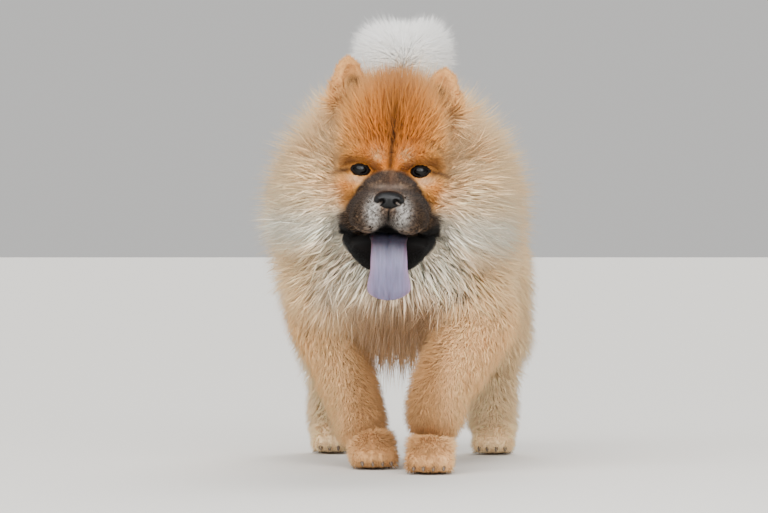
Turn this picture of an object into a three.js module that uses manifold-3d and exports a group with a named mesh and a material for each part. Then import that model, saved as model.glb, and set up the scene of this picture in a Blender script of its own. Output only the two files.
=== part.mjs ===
// A chow chow walking, as a still, life-size model. Millimetres, +Z up, floor at z = 0.
// The dog faces -Y, so its left side is at +X. Each part of the body is one closed solid:
// a core that reaches about half way through the coat, with the coat's locks fused to it.
import * as THREE from 'three';
import { mergeVertices } from 'three/addons/utils/BufferGeometryUtils.js';
import Module from 'manifold-3d';

const wasm = await Module();
wasm.setup();

// Driving dimensions of the whole dog.
const GAP = 0.42;              // clearance between touching parts, a little over the 0.3 that must stay
const CORE_SHARE = 0.46;       // how far a core reaches through the coat, from the skin
const FLOOR_TRIM = 3;          // everything but the soles stays this far above the floor
const SOLE_SINK = 4;           // how deep a paw's pads would dip under the floor before the flats are cut

const SPINE_SHIFT = 24;        // the hindquarters drift this far to the dog's left
const RIB_HALF = 98;           // half width of the rib cage, skin
const BACK_TOP = 422;          // height of the skin over the shoulders
const BRISKET = 205;           // height of the skin under the chest

const MANE_CENTRE = [4, -235, 328];
const MANE_NECK = 78;          // half width of the neck, skin
const MANE_COAT = 97;          // length of the mane beyond the skin

const HEAD_CENTRE = [-1, -275, 375];
const HEAD_YAW = -0.015;       // the muzzle points a little to the dog's right
const HEAD_ROLL = 0.035;       // the left eye is a little lower
const EYE_APART = 72;
const EYE_RADIUS = 11;
const NOSE_TIP_Y = -404;

// A draw of numbers from 0 to 1 that is the same each time.
function seeded(seed) {
  let state = seed;
  return () => {
    state = (state + 0x6d2b79f5) | 0;
    let t = Math.imul(state ^ (state >>> 15), 1 | state);
    t = (t + Math.imul(t ^ (t >>> 7), 61 | t)) ^ t;
    return ((t ^ (t >>> 14)) >>> 0) / 4294967296;
  };
}

const vec = ([x, y, z]) => new THREE.Vector3(x, y, z);
const DOWN = new THREE.Vector3(0, 0, -1);

// A closed geometry from points and triangles, turned so that its faces point out.
function closed(points, triangles) {
  let volume = 0;
  for (const [a, b, c] of triangles)
    volume += points[a].dot(new THREE.Vector3().crossVectors(points[b], points[c]));
  const index = triangles.flatMap(([a, b, c]) => (volume < 0 ? [a, c, b] : [a, b, c]));
  const geometry = new THREE.BufferGeometry().setFromPoints(points);
  geometry.setIndex(index);
  return geometry;
}

// Joins rings of points, with a pole or a flat cap at each end.
function skinRings(rings, startPole, endPole) {
  const sides = rings[0].length;
  const points = rings.flat();
  const triangles = [];
  for (let r = 0; r + 1 < rings.length; r++)
    for (let s = 0; s < sides; s++) {
      const a = r * sides + s;
      const b = r * sides + ((s + 1) % sides);
      triangles.push([a, b, a + sides], [b, b + sides, a + sides]);
    }
  const ends = [[0, startPole, true], [(rings.length - 1) * sides, endPole, false]];
  for (const [first, pole, reverse] of ends) {
    const fan = [];
    if (pole) {
      const apex = points.push(pole) - 1;
      for (let s = 0; s < sides; s++) fan.push([first + s, apex, first + ((s + 1) % sides)]);
    } else {
      for (let s = 1; s + 1 < sides; s++) fan.push([first, first + s + 1, first + s]);
    }
    for (const [a, b, c] of fan) triangles.push(reverse ? [a, b, c] : [a, c, b]);
  }
  return closed(points, triangles);
}

// A rounded body swept along a curve. Each station gives the half sizes of its oval section:
// across, upper (to the rear on a leg) and lower (to the front on a leg), as skin and as coat.
class Limb {
  constructor(stations, { sides = 16, rings = 10, rounding = [0.3, 0.3], share = CORE_SHARE } = {}) {
    const curve = (pick) => new THREE.CatmullRomCurve3(stations.map(pick), false, 'centripetal');
    this.path = curve((s) => vec(s.at));
    this.skin = curve((s) => vec(s.skin));
    this.coat = curve((s) => vec(s.coat));
    Object.assign(this, { sides, rings, rounding, share });
  }

  frame(t) {
    const along = this.path.getTangent(t);
    const across = new THREE.Vector3(1, 0, 0).addScaledVector(along, -along.x).normalize();
    const upper = new THREE.Vector3().crossVectors(across, along);
    return { along, across, upper };
  }

  // Half sizes at t, out to a share of the coat. Curves through few stations may swing, so each part is
  // read straight between stations, and only the path is smooth.
  halves(t, share, grow) {
    const read = (curve) => {
      const n = curve.points.length - 1;
      const i = Math.min(Math.floor(t * n), n - 1);
      const f = t * n - i;
      const eased = f * f * (3 - 2 * f);
      return curve.points[i].clone().lerp(curve.points[i + 1], eased);
    };
    return read(this.skin).addScaledVector(read(this.coat), share).addScalar(grow);
  }

  roundness(t) {
    const [start, end] = this.rounding;
    const fall = (x) => Math.sqrt(Math.max(0, 1 - (1 - x) * (1 - x)));
    return Math.min(t < start ? fall(t / start) : 1, 1 - t < end ? fall((1 - t) / end) : 1);
  }

  point(t, angle, share = this.share, grow = 0) {
    const { across, upper } = this.frame(t);
    const half = this.halves(t, share, grow).multiplyScalar(Math.max(this.roundness(t), 0.02));
    const rise = Math.sin(angle);
    return this.path.getPoint(t)
      .addScaledVector(across, half.x * Math.cos(angle))
      .addScaledVector(upper, rise * (rise > 0 ? half.y : half.z));
  }

  normal(t, angle) {
    const step = 0.02;
    const low = Math.max(t - step, 0.01);
    const high = Math.min(t + step, 0.99);
    const alongEdge = this.point(high, angle).sub(this.point(low, angle));
    const roundEdge = this.point(t, angle + 0.05).sub(this.point(t, angle - 0.05));
    const out = new THREE.Vector3().crossVectors(alongEdge, roundEdge).normalize();
    return out.dot(this.point(t, angle).sub(this.path.getPoint(t))) < 0 ? out.negate() : out;
  }

  geometry(grow = 0, share = this.share) {
    const rings = [];
    for (let r = 1; r < this.rings; r++) {
      const t = (1 - Math.cos((Math.PI * r) / this.rings)) / 2;
      const ring = [];
      for (let s = 0; s < this.sides; s++)
        ring.push(this.point(t, (2 * Math.PI * s) / this.sides, share, grow));
      rings.push(ring);
    }
    const pole = (t, sign) => this.path.getPoint(t).addScaledVector(this.path.getTangent(t), sign * grow);
    return skinRings(rings, pole(0, -1), pole(1, 1));
  }
}

// A rounded lump: a sphere scaled to three half sizes, turned and moved into place.
function lump(at, halves, { turn = [0, 0, 0], sides = 8, grow = 0 } = {}) {
  const g = new THREE.SphereGeometry(1, sides, Math.round(sides * 0.6));
  g.scale(halves[0] + grow, halves[1] + grow, halves[2] + grow);
  g.applyMatrix4(new THREE.Matrix4().makeRotationFromEuler(new THREE.Euler(...turn)));
  g.translate(...at);
  return g;
}

const LOCK_THICK = 11;
const LOCK_STATIONS = [0, 0.4, 0.75];      // where a lock's sections sit, before its tip
const LOCK_WIDTHS = [0.7, 1, 0.66];
const LOCK_THICKS = [1, 0.9, 0.6];

// One flat, tapered lock of hair that leaves its root along the surface's normal and bends over to its tip.
// Its section is a low triangle, the ridge outwards. Growing it scales each section about its inner circle.
function lock({ root, out, tip, width, thick }, grow) {
  const reach = tip.clone().sub(root);
  const bend = root.clone().addScaledVector(out, reach.length() * 0.34).addScaledVector(reach, 0.3);
  const sunk = root.clone().addScaledVector(out, -thick).addScaledVector(reach, -0.06);
  const curve = new THREE.QuadraticBezierCurve3(sunk, bend, tip);
  let inner;
  const rings = LOCK_STATIONS.map((s, k) => {
    const along = curve.getTangent(s);
    const across = new THREE.Vector3().crossVectors(along, out).normalize();
    const flat = new THREE.Vector3().crossVectors(across, along);
    const half = (width / 2) * LOCK_WIDTHS[k];
    const deep = thick * LOCK_THICKS[k];
    inner = (half * deep) / (half + Math.hypot(half, deep));
    const size = 1 + grow / inner;
    return [[half, -inner], [0, deep - inner], [-half, -inner]].map(([x, y]) =>
      curve.getPoint(s).addScaledVector(across, x * size).addScaledVector(flat, y * size));
  });
  const last = curve.getPoint(LOCK_STATIONS.at(-1)).distanceTo(tip);
  return skinRings(rings, null, tip.clone().addScaledVector(curve.getTangent(1), (grow * last) / inner));
}

// Rows of locks round a limb. A row gives where it roots (t) and how many locks it has, the stretch of angle it
// covers, how far along the limb the tips lie (sweep), how far they hang below where they would lie (droop), and
// how far they trail past the limb's end (trail). Tips end at the coat's own depth, so they make the outline.
function rowsOf(limb, rows, seed) {
  const random = seeded(seed);
  const locks = [];
  rows.forEach(({ t, count, from = 0, to = 2 * Math.PI, sweep, droop = 0, trail = 0, width, thick = LOCK_THICK }, r) => {
    for (let i = 0; i < count; i++) {
      const angle = from + ((to - from) * (i + (r % 2 ? 0.5 : 0) + (random() - 0.5) * 0.3 + 0.25)) / count;
      const root = limb.point(t, angle);
      const out = limb.normal(t, angle);
      const tipAt = Math.min(Math.max(t + sweep * (0.85 + 0.3 * random()), 0.02), 0.98);
      const tip = limb.point(tipAt, angle, 0.94 + 0.12 * random())
        .addScaledVector(DOWN, droop * (0.7 + 0.6 * random()) * (1 - Math.max(out.z, 0)))
        .addScaledVector(limb.path.getTangent(tipAt), trail);
      locks.push({ root, out, tip, width: width * (0.88 + 0.24 * random()), thick });
    }
  });
  return locks;
}

function solidOf(geometry) {
  const bare = geometry.clone();
  bare.deleteAttribute('normal');
  bare.deleteAttribute('uv');
  const merged = mergeVertices(bare, 1e-3);
  return new wasm.Manifold(new wasm.Mesh({
    numProp: 3,
    vertProperties: new Float32Array(merged.attributes.position.array),
    triVerts: new Uint32Array(merged.index.array),
  }));
}

const joined = (geometries) => wasm.Manifold.union(geometries.map(solidOf));

function largest(solid) {
  return solid.decompose().reduce((best, s) => (s.volume() > best.volume() ? s : best));
}

// Everything above a level: a wide box standing on it.
function above(level) {
  const g = new THREE.BoxGeometry(2000, 2000, 1500);
  g.translate(0, 0, 750 + level);
  return solidOf(g);
}

// The head's own frame, turned and tilted as the dog holds it.
const headTurn = new THREE.Matrix4().makeTranslation(...HEAD_CENTRE)
  .multiply(new THREE.Matrix4().makeRotationZ(HEAD_YAW))
  .multiply(new THREE.Matrix4().makeRotationY(HEAD_ROLL))
  .multiply(new THREE.Matrix4().makeTranslation(...HEAD_CENTRE.map((v) => -v)));
const onHead = (geometries) => geometries.map((g) => g.applyMatrix4(headTurn));

// Body, legs and tail as swept limbs. Stations run from front to back, or from top to bottom.
const limbs = {
  mane: new Limb([
    { at: [1, -306, 345], skin: [60, 62, 66], coat: [56, 46, 54] },
    { at: [3, -262, 335], skin: [74, 76, 78], coat: [97, 90, 90] },
    { at: [MANE_CENTRE[0], -205, 330], skin: [MANE_NECK, 84, 84], coat: [MANE_COAT, 90, 94] },
    { at: [5, -140, 326], skin: [84, 88, 84], coat: [84, 76, 80] },
  ], { sides: 18, rings: 10, rounding: [0.22, 0.35] }),
  torso_front: new Limb([
    { at: [4, -228, 290], skin: [62, 62, 66], coat: [62, 60, 92] },
    { at: [5, -165, 306], skin: [88, BACK_TOP - 312, 306 - BRISKET], coat: [70, 52, 92] },
    { at: [9, -80, 314], skin: [RIB_HALF, BACK_TOP - 314, 314 - BRISKET], coat: [66, 54, 66] },
    { at: [14, 20, 320], skin: [94, 98, 88], coat: [64, 54, 62] },
  ], { sides: 18, rings: 9, rounding: [0.3, 0.12] }),
  torso_rear: new Limb([
    { at: [10, -50, 318], skin: [92, 96, 86], coat: [64, 54, 60] },
    { at: [14, 10, 320], skin: [93, 97, 86], coat: [64, 54, 62] },
    { at: [19, 90, 322], skin: [92, 96, 78], coat: [64, 56, 60] },
    { at: [SPINE_SHIFT, 160, 322], skin: [90, 92, 78], coat: [66, 54, 62] },
    { at: [SPINE_SHIFT, 218, 312], skin: [66, 66, 66], coat: [58, 50, 62] },
  ], { sides: 18, rings: 9, rounding: [0.06, 0.34] }),
  tail: new Limb([
    { at: [24, 178, 418], skin: [22, 22, 22], coat: [26, 30, 20] },
    { at: [22, 206, 478], skin: [16, 16, 16], coat: [58, 52, 30] },
    { at: [18, 176, 524], skin: [13, 13, 13], coat: [64, 58, 34] },
    { at: [15, 118, 522], skin: [11, 11, 11], coat: [64, 58, 34] },
    { at: [14, 66, 500], skin: [8, 8, 8], coat: [46, 36, 26] },
  ], { sides: 12, rings: 11, rounding: [0.12, 0.3] }),
  foreleg_right: new Limb([
    { at: [-82, -172, 268], skin: [42, 52, 48], coat: [24, 26, 24] },
    { at: [-84, -160, 200], skin: [34, 44, 34], coat: [24, 30, 18] },
    { at: [-64, -168, 132], skin: [26, 30, 27], coat: [18, 30, 14] },
    { at: [-44, -178, 72], skin: [24, 26, 25], coat: [14, 20, 10] },
    { at: [-34, -188, 34], skin: [24, 25, 25], coat: [12, 16, 8] },
  ], { sides: 10, rings: 8, rounding: [0.2, 0.12] }),
  foreleg_left: new Limb([
    { at: [86, -184, 268], skin: [42, 50, 46], coat: [24, 24, 22] },
    { at: [104, -190, 200], skin: [38, 42, 36], coat: [26, 28, 18] },
    { at: [86, -240, 148], skin: [30, 32, 30], coat: [20, 28, 16] },
    { at: [58, -286, 98], skin: [27, 27, 26], coat: [16, 20, 12] },
    { at: [49, -300, 42], skin: [26, 25, 25], coat: [13, 15, 9] },
  ], { sides: 10, rings: 8, rounding: [0.2, 0.12] }),
  thigh_right: new Limb([
    { at: [-42, 150, 330], skin: [42, 70, 62], coat: [26, 44, 24] },
    { at: [-66, 138, 246], skin: [42, 68, 58], coat: [32, 50, 24] },
    { at: [-74, 150, 168], skin: [34, 46, 40], coat: [30, 50, 22] },
    { at: [-78, 172, 120], skin: [26, 30, 28], coat: [24, 40, 18] },
  ], { sides: 11, rings: 7, rounding: [0.16, 0.3] }),
  thigh_left: new Limb([
    { at: [90, 150, 330], skin: [42, 70, 62], coat: [26, 44, 24] },
    { at: [118, 128, 246], skin: [42, 68, 58], coat: [32, 50, 24] },
    { at: [128, 132, 168], skin: [34, 46, 40], coat: [30, 50, 22] },
    { at: [131, 150, 120], skin: [26, 30, 28], coat: [26, 40, 18] },
  ], { sides: 11, rings: 7, rounding: [0.16, 0.3] }),
  hock_right: new Limb([
    { at: [-78, 172, 132], skin: [22, 26, 24], coat: [20, 32, 16] },
    { at: [-79, 182, 84], skin: [20, 24, 21], coat: [20, 26, 12] },
    { at: [-79, 180, 30], skin: [23, 25, 22], coat: [14, 16, 8] },
  ], { sides: 10, rings: 5, rounding: [0.2, 0.14] }),
  hock_left: new Limb([
    { at: [131, 150, 132], skin: [22, 26, 24], coat: [20, 32, 16] },
    { at: [132, 158, 84], skin: [20, 24, 21], coat: [22, 26, 12] },
    { at: [133, 154, 30], skin: [23, 25, 22], coat: [14, 16, 8] },
  ], { sides: 10, rings: 5, rounding: [0.2, 0.14] }),
};

// The rows of locks on each limb, from its front or top to its end.
const BELOW = { from: Math.PI, to: 2 * Math.PI };
const locks = {
  mane: rowsOf(limbs.mane, [
    { t: 0.2, count: 12, sweep: 0.12, droop: 6, width: 56 },
    { t: 0.42, count: 11, sweep: 0.24, droop: 12, width: 62 },
    { t: 0.66, count: 9, sweep: 0.3, droop: 16, width: 62 },
  ], 11),
  torso_front: rowsOf(limbs.torso_front, [
    { t: 0.14, count: 5, ...BELOW, sweep: 0.04, droop: 30, width: 54 },
    { t: 0.48, count: 9, sweep: 0.24, droop: 14, width: 58 },
    { t: 0.76, count: 8, sweep: 0.2, droop: 14, width: 58 },
  ], 12),
  torso_rear: rowsOf(limbs.torso_rear, [
    { t: 0.42, count: 8, sweep: 0.24, droop: 14, width: 58 },
    { t: 0.66, count: 8, sweep: 0.22, droop: 14, width: 58 },
    { t: 0.84, count: 7, sweep: 0.1, droop: 16, trail: 26, width: 54 },
    { t: 0.94, count: 5, sweep: 0.03, droop: 22, trail: 44, width: 50 },
  ], 13),
  tail: rowsOf(limbs.tail, [
    { t: 0.24, count: 5, sweep: 0.2, width: 38 },
    { t: 0.44, count: 5, sweep: 0.22, width: 44 },
    { t: 0.64, count: 5, sweep: 0.22, width: 44 },
    { t: 0.82, count: 5, sweep: 0.17, width: 36 },
  ], 14),
};
for (const [side, seed] of [['right', 20], ['left', 30]]) {
  locks[`foreleg_${side}`] = rowsOf(limbs[`foreleg_${side}`], [
    { t: 0.4, count: 5, sweep: 0.26, droop: 8, width: 36, thick: 8 },
    { t: 0.7, count: 5, sweep: 0.2, droop: 6, width: 30, thick: 7 },
  ], seed);
  locks[`thigh_${side}`] = rowsOf(limbs[`thigh_${side}`], [
    { t: 0.42, count: 5, sweep: 0.3, droop: 12, width: 44 },
    { t: 0.72, count: 5, sweep: 0.22, droop: 14, width: 38 },
  ], seed + 1);
  locks[`hock_${side}`] = rowsOf(limbs[`hock_${side}`], [
    { t: 0.4, count: 4, sweep: 0.36, droop: 4, width: 30, thick: 7 },
  ], seed + 2);
}

// A limb with its locks: the core, and each lock with its root sunk in it.
const furred = (limb, tufts, grow) => [limb.geometry(grow), ...tufts.map((l) => lock(l, grow))];

// Where each paw stands, and how far it turns outwards.
const paws = {
  forepaw_right: { at: [-24, -208], turn: 0.18, size: 1 },
  forepaw_left: { at: [46, -316], turn: -0.08, size: 1 },
  hindpaw_right: { at: [-79, 164], turn: 0.1, size: 0.94 },
  hindpaw_left: { at: [134, 138], turn: -0.1, size: 0.94 },
};

const TOES = 4;
const PAW_HALF = 29;           // half width of a forepaw without its fur
const TOE_LIFT = 17;

// A cat-like round paw: a pad with four toes across its front, cut flat where it meets the floor.
function pawPieces({ at, turn, size }, grow) {
  const place = new THREE.Matrix4().makeTranslation(at[0], at[1], 0)
    .multiply(new THREE.Matrix4().makeRotationZ(turn));
  const pieces = [
    lump([0, 8, 24 - SOLE_SINK], [PAW_HALF * size, 33 * size, 30], { sides: 10, grow }),
  ];
  for (let i = 0; i < TOES; i++) {
    const spread = (i - (TOES - 1) / 2) / TOES;
    const reach = -26 * size + Math.abs(spread) * 22;
    pieces.push(lump([spread * 50 * size, reach, TOE_LIFT - SOLE_SINK],
      [9.5 * size, 17 * size, 16], { turn: [0, 0, -spread * 0.5], sides: 6, grow }));
  }
  return pieces.map((g) => g.applyMatrix4(place));
}

const eyeAt = (side) => [HEAD_CENTRE[0] + side * EYE_APART / 2, -331, 366];
const noseAt = [-0.5, NOSE_TIP_Y + 11, 330];

const tongue = new Limb([
  { at: [-1, -318, 286], skin: [20, 4, 4], coat: [0, 0, 0] },
  { at: [0, -360, 288], skin: [23, 4, 4], coat: [0, 0, 0] },
  { at: [1, -392, 279], skin: [22, 4, 4], coat: [0, 0, 0] },
  { at: [2, -399, 252], skin: [22, 4, 4], coat: [0, 0, 0] },
  { at: [3, -397, 226], skin: [26, 4, 4], coat: [0, 0, 0] },
  { at: [4, -393, 211], skin: [22, 3.5, 3.5], coat: [0, 0, 0] },
], { sides: 8, rings: 12, rounding: [0.08, 0.16] });

const jaw = new Limb([
  { at: [0, -268, 292], skin: [50, 16, 22], coat: [6, 0, 4] },
  { at: [0, -318, 282], skin: [56, 10, 24], coat: [6, 0, 4] },
  { at: [0, -356, 273], skin: [45, 8, 24], coat: [5, 0, 4] },
  { at: [0, -386, 264], skin: [27, 7, 15], coat: [3, 0, 3] },
], { sides: 12, rings: 7, rounding: [0.25, 0.22], share: 1 });

const cranium = new Limb([
  { at: [0, -352, 372], skin: [50, 40, 36], coat: [10, 18, 6] },
  { at: [0, -318, 375], skin: [62, 56, 48], coat: [22, 42, 10] },
  { at: [0, -262, 376], skin: [66, 62, 56], coat: [30, 54, 12] },
  { at: [0, -200, 366], skin: [54, 52, 52], coat: [30, 50, 12] },
], { sides: 14, rings: 8, rounding: [0.3, 0.3] });

const headLocks = rowsOf(cranium, [
  { t: 0.3, count: 6, from: 0, to: Math.PI, sweep: 0.16, width: 38, thick: 9 },
  { t: 0.54, count: 8, from: -0.7, to: Math.PI + 0.7, sweep: 0.18, width: 42, thick: 10 },
], 15);

const muzzle = new Limb([
  { at: [0, -300, 322], skin: [50, 36, 26], coat: [6, 4, 2] },
  { at: [-1, -345, 320], skin: [46, 29, 27], coat: [4, 3, 2] },
  { at: [-1, -376, 318], skin: [41, 24, 25], coat: [3, 2, 2] },
  { at: [-1, -400, 319], skin: [33, 19, 20], coat: [2, 2, 2] },
], { sides: 14, rings: 8, rounding: [0.2, 0.24], share: 1 });

function headPieces(grow) {
  const pieces = [cranium.geometry(grow), muzzle.geometry(grow), ...headLocks.map((l) => lock(l, grow))];
  for (const side of [-1, 1]) {
    const eye = eyeAt(side);
    pieces.push(
      lump([side * 56, -290, 334], [36, 44, 46], { sides: 10, grow }),
      lump([side * 47, -334, 309], [21, 30, 20], { grow }),
      lump([side * 24, -378, 310], [25, 25, 21], { grow }),
      lump([side * 34, -332, 384], [28, 20, 13], { turn: [0, side * 0.25, 0], grow }),
      lump([side * 46, -328, 348], [22, 16, 14], { grow }),
    );
    const lid = new THREE.TorusGeometry(EYE_RADIUS - 0.5, 3 + grow, 4, 12);
    lid.rotateX(Math.PI / 2);
    lid.scale(1, 1, 0.72);
    lid.rotateY(side * 0.2);
    lid.translate(eye[0], eye[1] - 9, eye[2]);
    pieces.push(lid);
  }
  return onHead(pieces);
}

// The almond slit between the lids, cut through to the eyeball.
function lidSlits() {
  return joined(onHead([-1, 1].map((side) => {
    const [x, y, z] = eyeAt(side);
    return lump([x, y - 14, z], [9.5, 16, 5.8], { turn: [0, side * 0.2, 0], sides: 10 });
  })));
}

// The two nostrils, comma-shaped pits that open to the front and the sides.
function nostrils() {
  const [x, y, z] = noseAt;
  return joined(onHead([-1, 1].map((side) =>
    lump([x + side * 9, y - 11, z + 1], [4, 8, 3.6], { turn: [0, side * 0.5, side * 0.35], sides: 6 }))));
}

// The roof of the mouth and the gap that the jaw has dropped away from.
function mouthHollow() {
  return joined(onHead([
    lump([0, -352, 291], [33, 52, 13], { sides: 12 }),
    lump([0, -402, 293], [10, 22, 12], { sides: 10 }),
  ]));
}

const EAR_TILT = { left: { z: -0.35, y: 0.12, x: -0.14 }, right: { z: 0.5, y: -0.1, x: -0.02 } };

// A small thick ear with a rounded tip, hollowed in front.
function earPieces(side, grow) {
  const { at, turn } = earPlace(side);
  const flap = new Limb([
    { at: [0, 4, -24], skin: [27, 12, 12], coat: [0, 0, 0] },
    { at: [0, 2, 8], skin: [25, 10, 10], coat: [0, 0, 0] },
    { at: [0, 0, 30], skin: [17, 8, 8], coat: [0, 0, 0] },
    { at: [0, -2, 44], skin: [9, 6, 6], coat: [0, 0, 0] },
  ], { sides: 10, rings: 8, rounding: [0.1, 0.34] });
  const placed = new THREE.Matrix4().makeTranslation(...at)
    .multiply(new THREE.Matrix4().makeRotationFromEuler(turn));
  return onHead([flap.geometry(grow).applyMatrix4(placed)]);
}

function earPlace(side) {
  const name = side > 0 ? 'left' : 'right';
  const tilt = EAR_TILT[name];
  return {
    at: side > 0 ? [56, -262, 452] : [-55, -258, 462],
    turn: new THREE.Euler(tilt.x, tilt.y, tilt.z),
  };
}

function earCup(side) {
  const { at, turn } = earPlace(side);
  const placed = new THREE.Matrix4().makeTranslation(...at)
    .multiply(new THREE.Matrix4().makeRotationFromEuler(turn));
  return joined(onHead([
    lump([0, -13, 12], [16, 13, 25], { sides: 10 }).applyMatrix4(placed),
  ]));
}

// The parts in the order in which they are cut: each is cut clear of those named in its list.
const plan = [
  ['eye_left', '#2a1a12', (g) => onHead([lump(eyeAt(1), [EYE_RADIUS, EYE_RADIUS, EYE_RADIUS], { sides: 10, grow: g })]), []],
  ['eye_right', '#2a1a12', (g) => onHead([lump(eyeAt(-1), [EYE_RADIUS, EYE_RADIUS, EYE_RADIUS], { sides: 10, grow: g })]), []],
  ['nose', '#1d1d20', (g) => onHead([lump(noseAt, [18, 12, 11], { sides: 10, grow: g })]), []],
  ['tongue', '#9a93b4', (g) => onHead([tongue.geometry(g)]), []],
  ['ear_left', '#b98d5e', (g) => earPieces(1, g), []],
  ['ear_right', '#b98d5e', (g) => earPieces(-1, g), []],
  ['head', '#bd7f44', (g) => headPieces(g), ['eye_left', 'eye_right', 'nose', 'tongue', 'ear_left', 'ear_right']],
  ['jaw', '#2e2622', (g) => onHead([jaw.geometry(g)]), ['tongue', 'head']],
  ['mane', '#dcc39f', (g) => furred(limbs.mane, locks.mane, g), ['head', 'jaw', 'ear_left', 'ear_right', 'tongue']],
  ['torso_front', '#c9a87f', (g) => furred(limbs.torso_front, locks.torso_front, g), ['mane']],
  ['torso_rear', '#cbb08a', (g) => furred(limbs.torso_rear, locks.torso_rear, g), ['torso_front', 'mane']],
  ['tail', '#dedad2', (g) => furred(limbs.tail, locks.tail, g), ['torso_rear', 'torso_front', 'mane']],
];
for (const side of ['right', 'left']) {
  plan.push(
    [`forepaw_${side}`, '#d3a571', (g) => pawPieces(paws[`forepaw_${side}`], g), []],
    [`hindpaw_${side}`, '#cdb38c', (g) => pawPieces(paws[`hindpaw_${side}`], g), []],
  );
}
for (const side of ['right', 'left']) {
  plan.push(
    [`foreleg_${side}`, '#c99458', (g) => furred(limbs[`foreleg_${side}`], locks[`foreleg_${side}`], g),
      [`forepaw_${side}`, 'torso_front', 'mane', 'forepaw_left']],
    [`thigh_${side}`, '#cfb58e', (g) => furred(limbs[`thigh_${side}`], locks[`thigh_${side}`], g), ['torso_rear', 'torso_front']],
    [`hock_${side}`, '#cfb58e', (g) => furred(limbs[`hock_${side}`], locks[`hock_${side}`], g),
      [`hindpaw_${side}`, `thigh_${side}`, 'torso_rear']],
  );
}

const SOLES = new Set(Object.keys(paws));
const grown = new Map();
const solids = new Map();
for (const [name, , pieces, clearOf] of plan) {
  let solid = joined(pieces(0));
  for (const other of clearOf) solid = solid.subtract(grown.get(other));
  if (name === 'head') solid = solid.subtract(mouthHollow()).subtract(lidSlits());
  if (name === 'nose') solid = solid.subtract(nostrils());
  if (name === 'ear_left') solid = solid.subtract(earCup(1));
  if (name === 'ear_right') solid = solid.subtract(earCup(-1));
  solid = solid.intersect(above(SOLES.has(name) ? 0 : FLOOR_TRIM));
  solids.set(name, largest(solid));
  grown.set(name, joined(pieces(GAP)));
}

const dog = new THREE.Group();
for (const [name, colour] of plan) {
  const mesh = solids.get(name).getMesh();
  const geometry = new THREE.BufferGeometry();
  geometry.setAttribute('position', new THREE.BufferAttribute(new Float32Array(mesh.vertProperties), 3));
  geometry.setIndex(new THREE.BufferAttribute(new Uint32Array(mesh.triVerts), 1));
  const material = new THREE.MeshStandardMaterial({ color: colour, roughness: 0.9, metalness: 0 });
  const part = new THREE.Mesh(geometry, material);
  part.name = name;
  dog.add(part);
}

// The origin is the middle of the box that the dog fills, on the floor.
const box = new THREE.Box3().setFromObject(dog);
const centre = box.getCenter(new THREE.Vector3());
dog.position.set(-centre.x, -centre.y, 0);

export default dog;
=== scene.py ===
# %% [markdown]
# A chow chow in full coat, walking towards us with its mouth open, as a museum's life-size model. The packed
# solids give its size and place. This file dresses them: one skin over all the flesh, then eyes, nose, tongue and
# claws, then a coat of mesh tufts that follows the lie of a real chow's fur. Lengths are millimetres in the
# dog's own frame (it faces -Y, its left is +X, the floor is z = 0) until a mesh is made, and metres from there.

import bpy
import numpy as np
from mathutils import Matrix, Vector


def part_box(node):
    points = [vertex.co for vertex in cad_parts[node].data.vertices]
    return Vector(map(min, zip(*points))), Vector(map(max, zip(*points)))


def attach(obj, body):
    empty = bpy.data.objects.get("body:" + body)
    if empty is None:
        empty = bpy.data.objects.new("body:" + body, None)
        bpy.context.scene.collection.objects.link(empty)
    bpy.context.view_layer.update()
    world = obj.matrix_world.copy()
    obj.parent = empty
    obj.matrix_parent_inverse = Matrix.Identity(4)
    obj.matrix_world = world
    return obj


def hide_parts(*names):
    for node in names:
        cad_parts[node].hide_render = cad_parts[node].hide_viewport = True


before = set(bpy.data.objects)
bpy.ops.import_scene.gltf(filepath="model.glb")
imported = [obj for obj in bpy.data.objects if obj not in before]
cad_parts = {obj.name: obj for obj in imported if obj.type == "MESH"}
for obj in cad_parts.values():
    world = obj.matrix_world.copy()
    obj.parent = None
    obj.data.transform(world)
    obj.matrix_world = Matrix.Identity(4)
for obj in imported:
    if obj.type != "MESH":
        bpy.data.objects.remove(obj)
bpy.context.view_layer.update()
print("CAD nodes:", len(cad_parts))

# %% [markdown]
# The sculptor's numbers. Each limb is a line of stations, and each station gives the middle of the limb, three half
# sizes of its flesh and, in the same order, how deep the coat is over it. The sizes are across, then to the limb's
# second side, then to its third. On trunk and mane, which run back, those are up and down; on legs they are rear
# and front; on head and jaw, which run forward, they are down and up. A chow's coat is deepest in the ruff, where
# it is longer than the neck is thick.

# %% Sizes of the body
HEAD_CENTRE = np.array([-1.0, -275, 375])
HEAD_YAW, HEAD_ROLL = -0.015, 0.035
EYE_APART, EYE_RADIUS = 72, 11
EYE_Y, EYE_Z = -331, 366
NOSE_AT = np.array([-0.5, -393, 330])
EYE_AT = {s: np.array([HEAD_CENTRE[0] + s * EYE_APART / 2, EYE_Y, EYE_Z]) for s in (-1, 1)}

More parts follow.
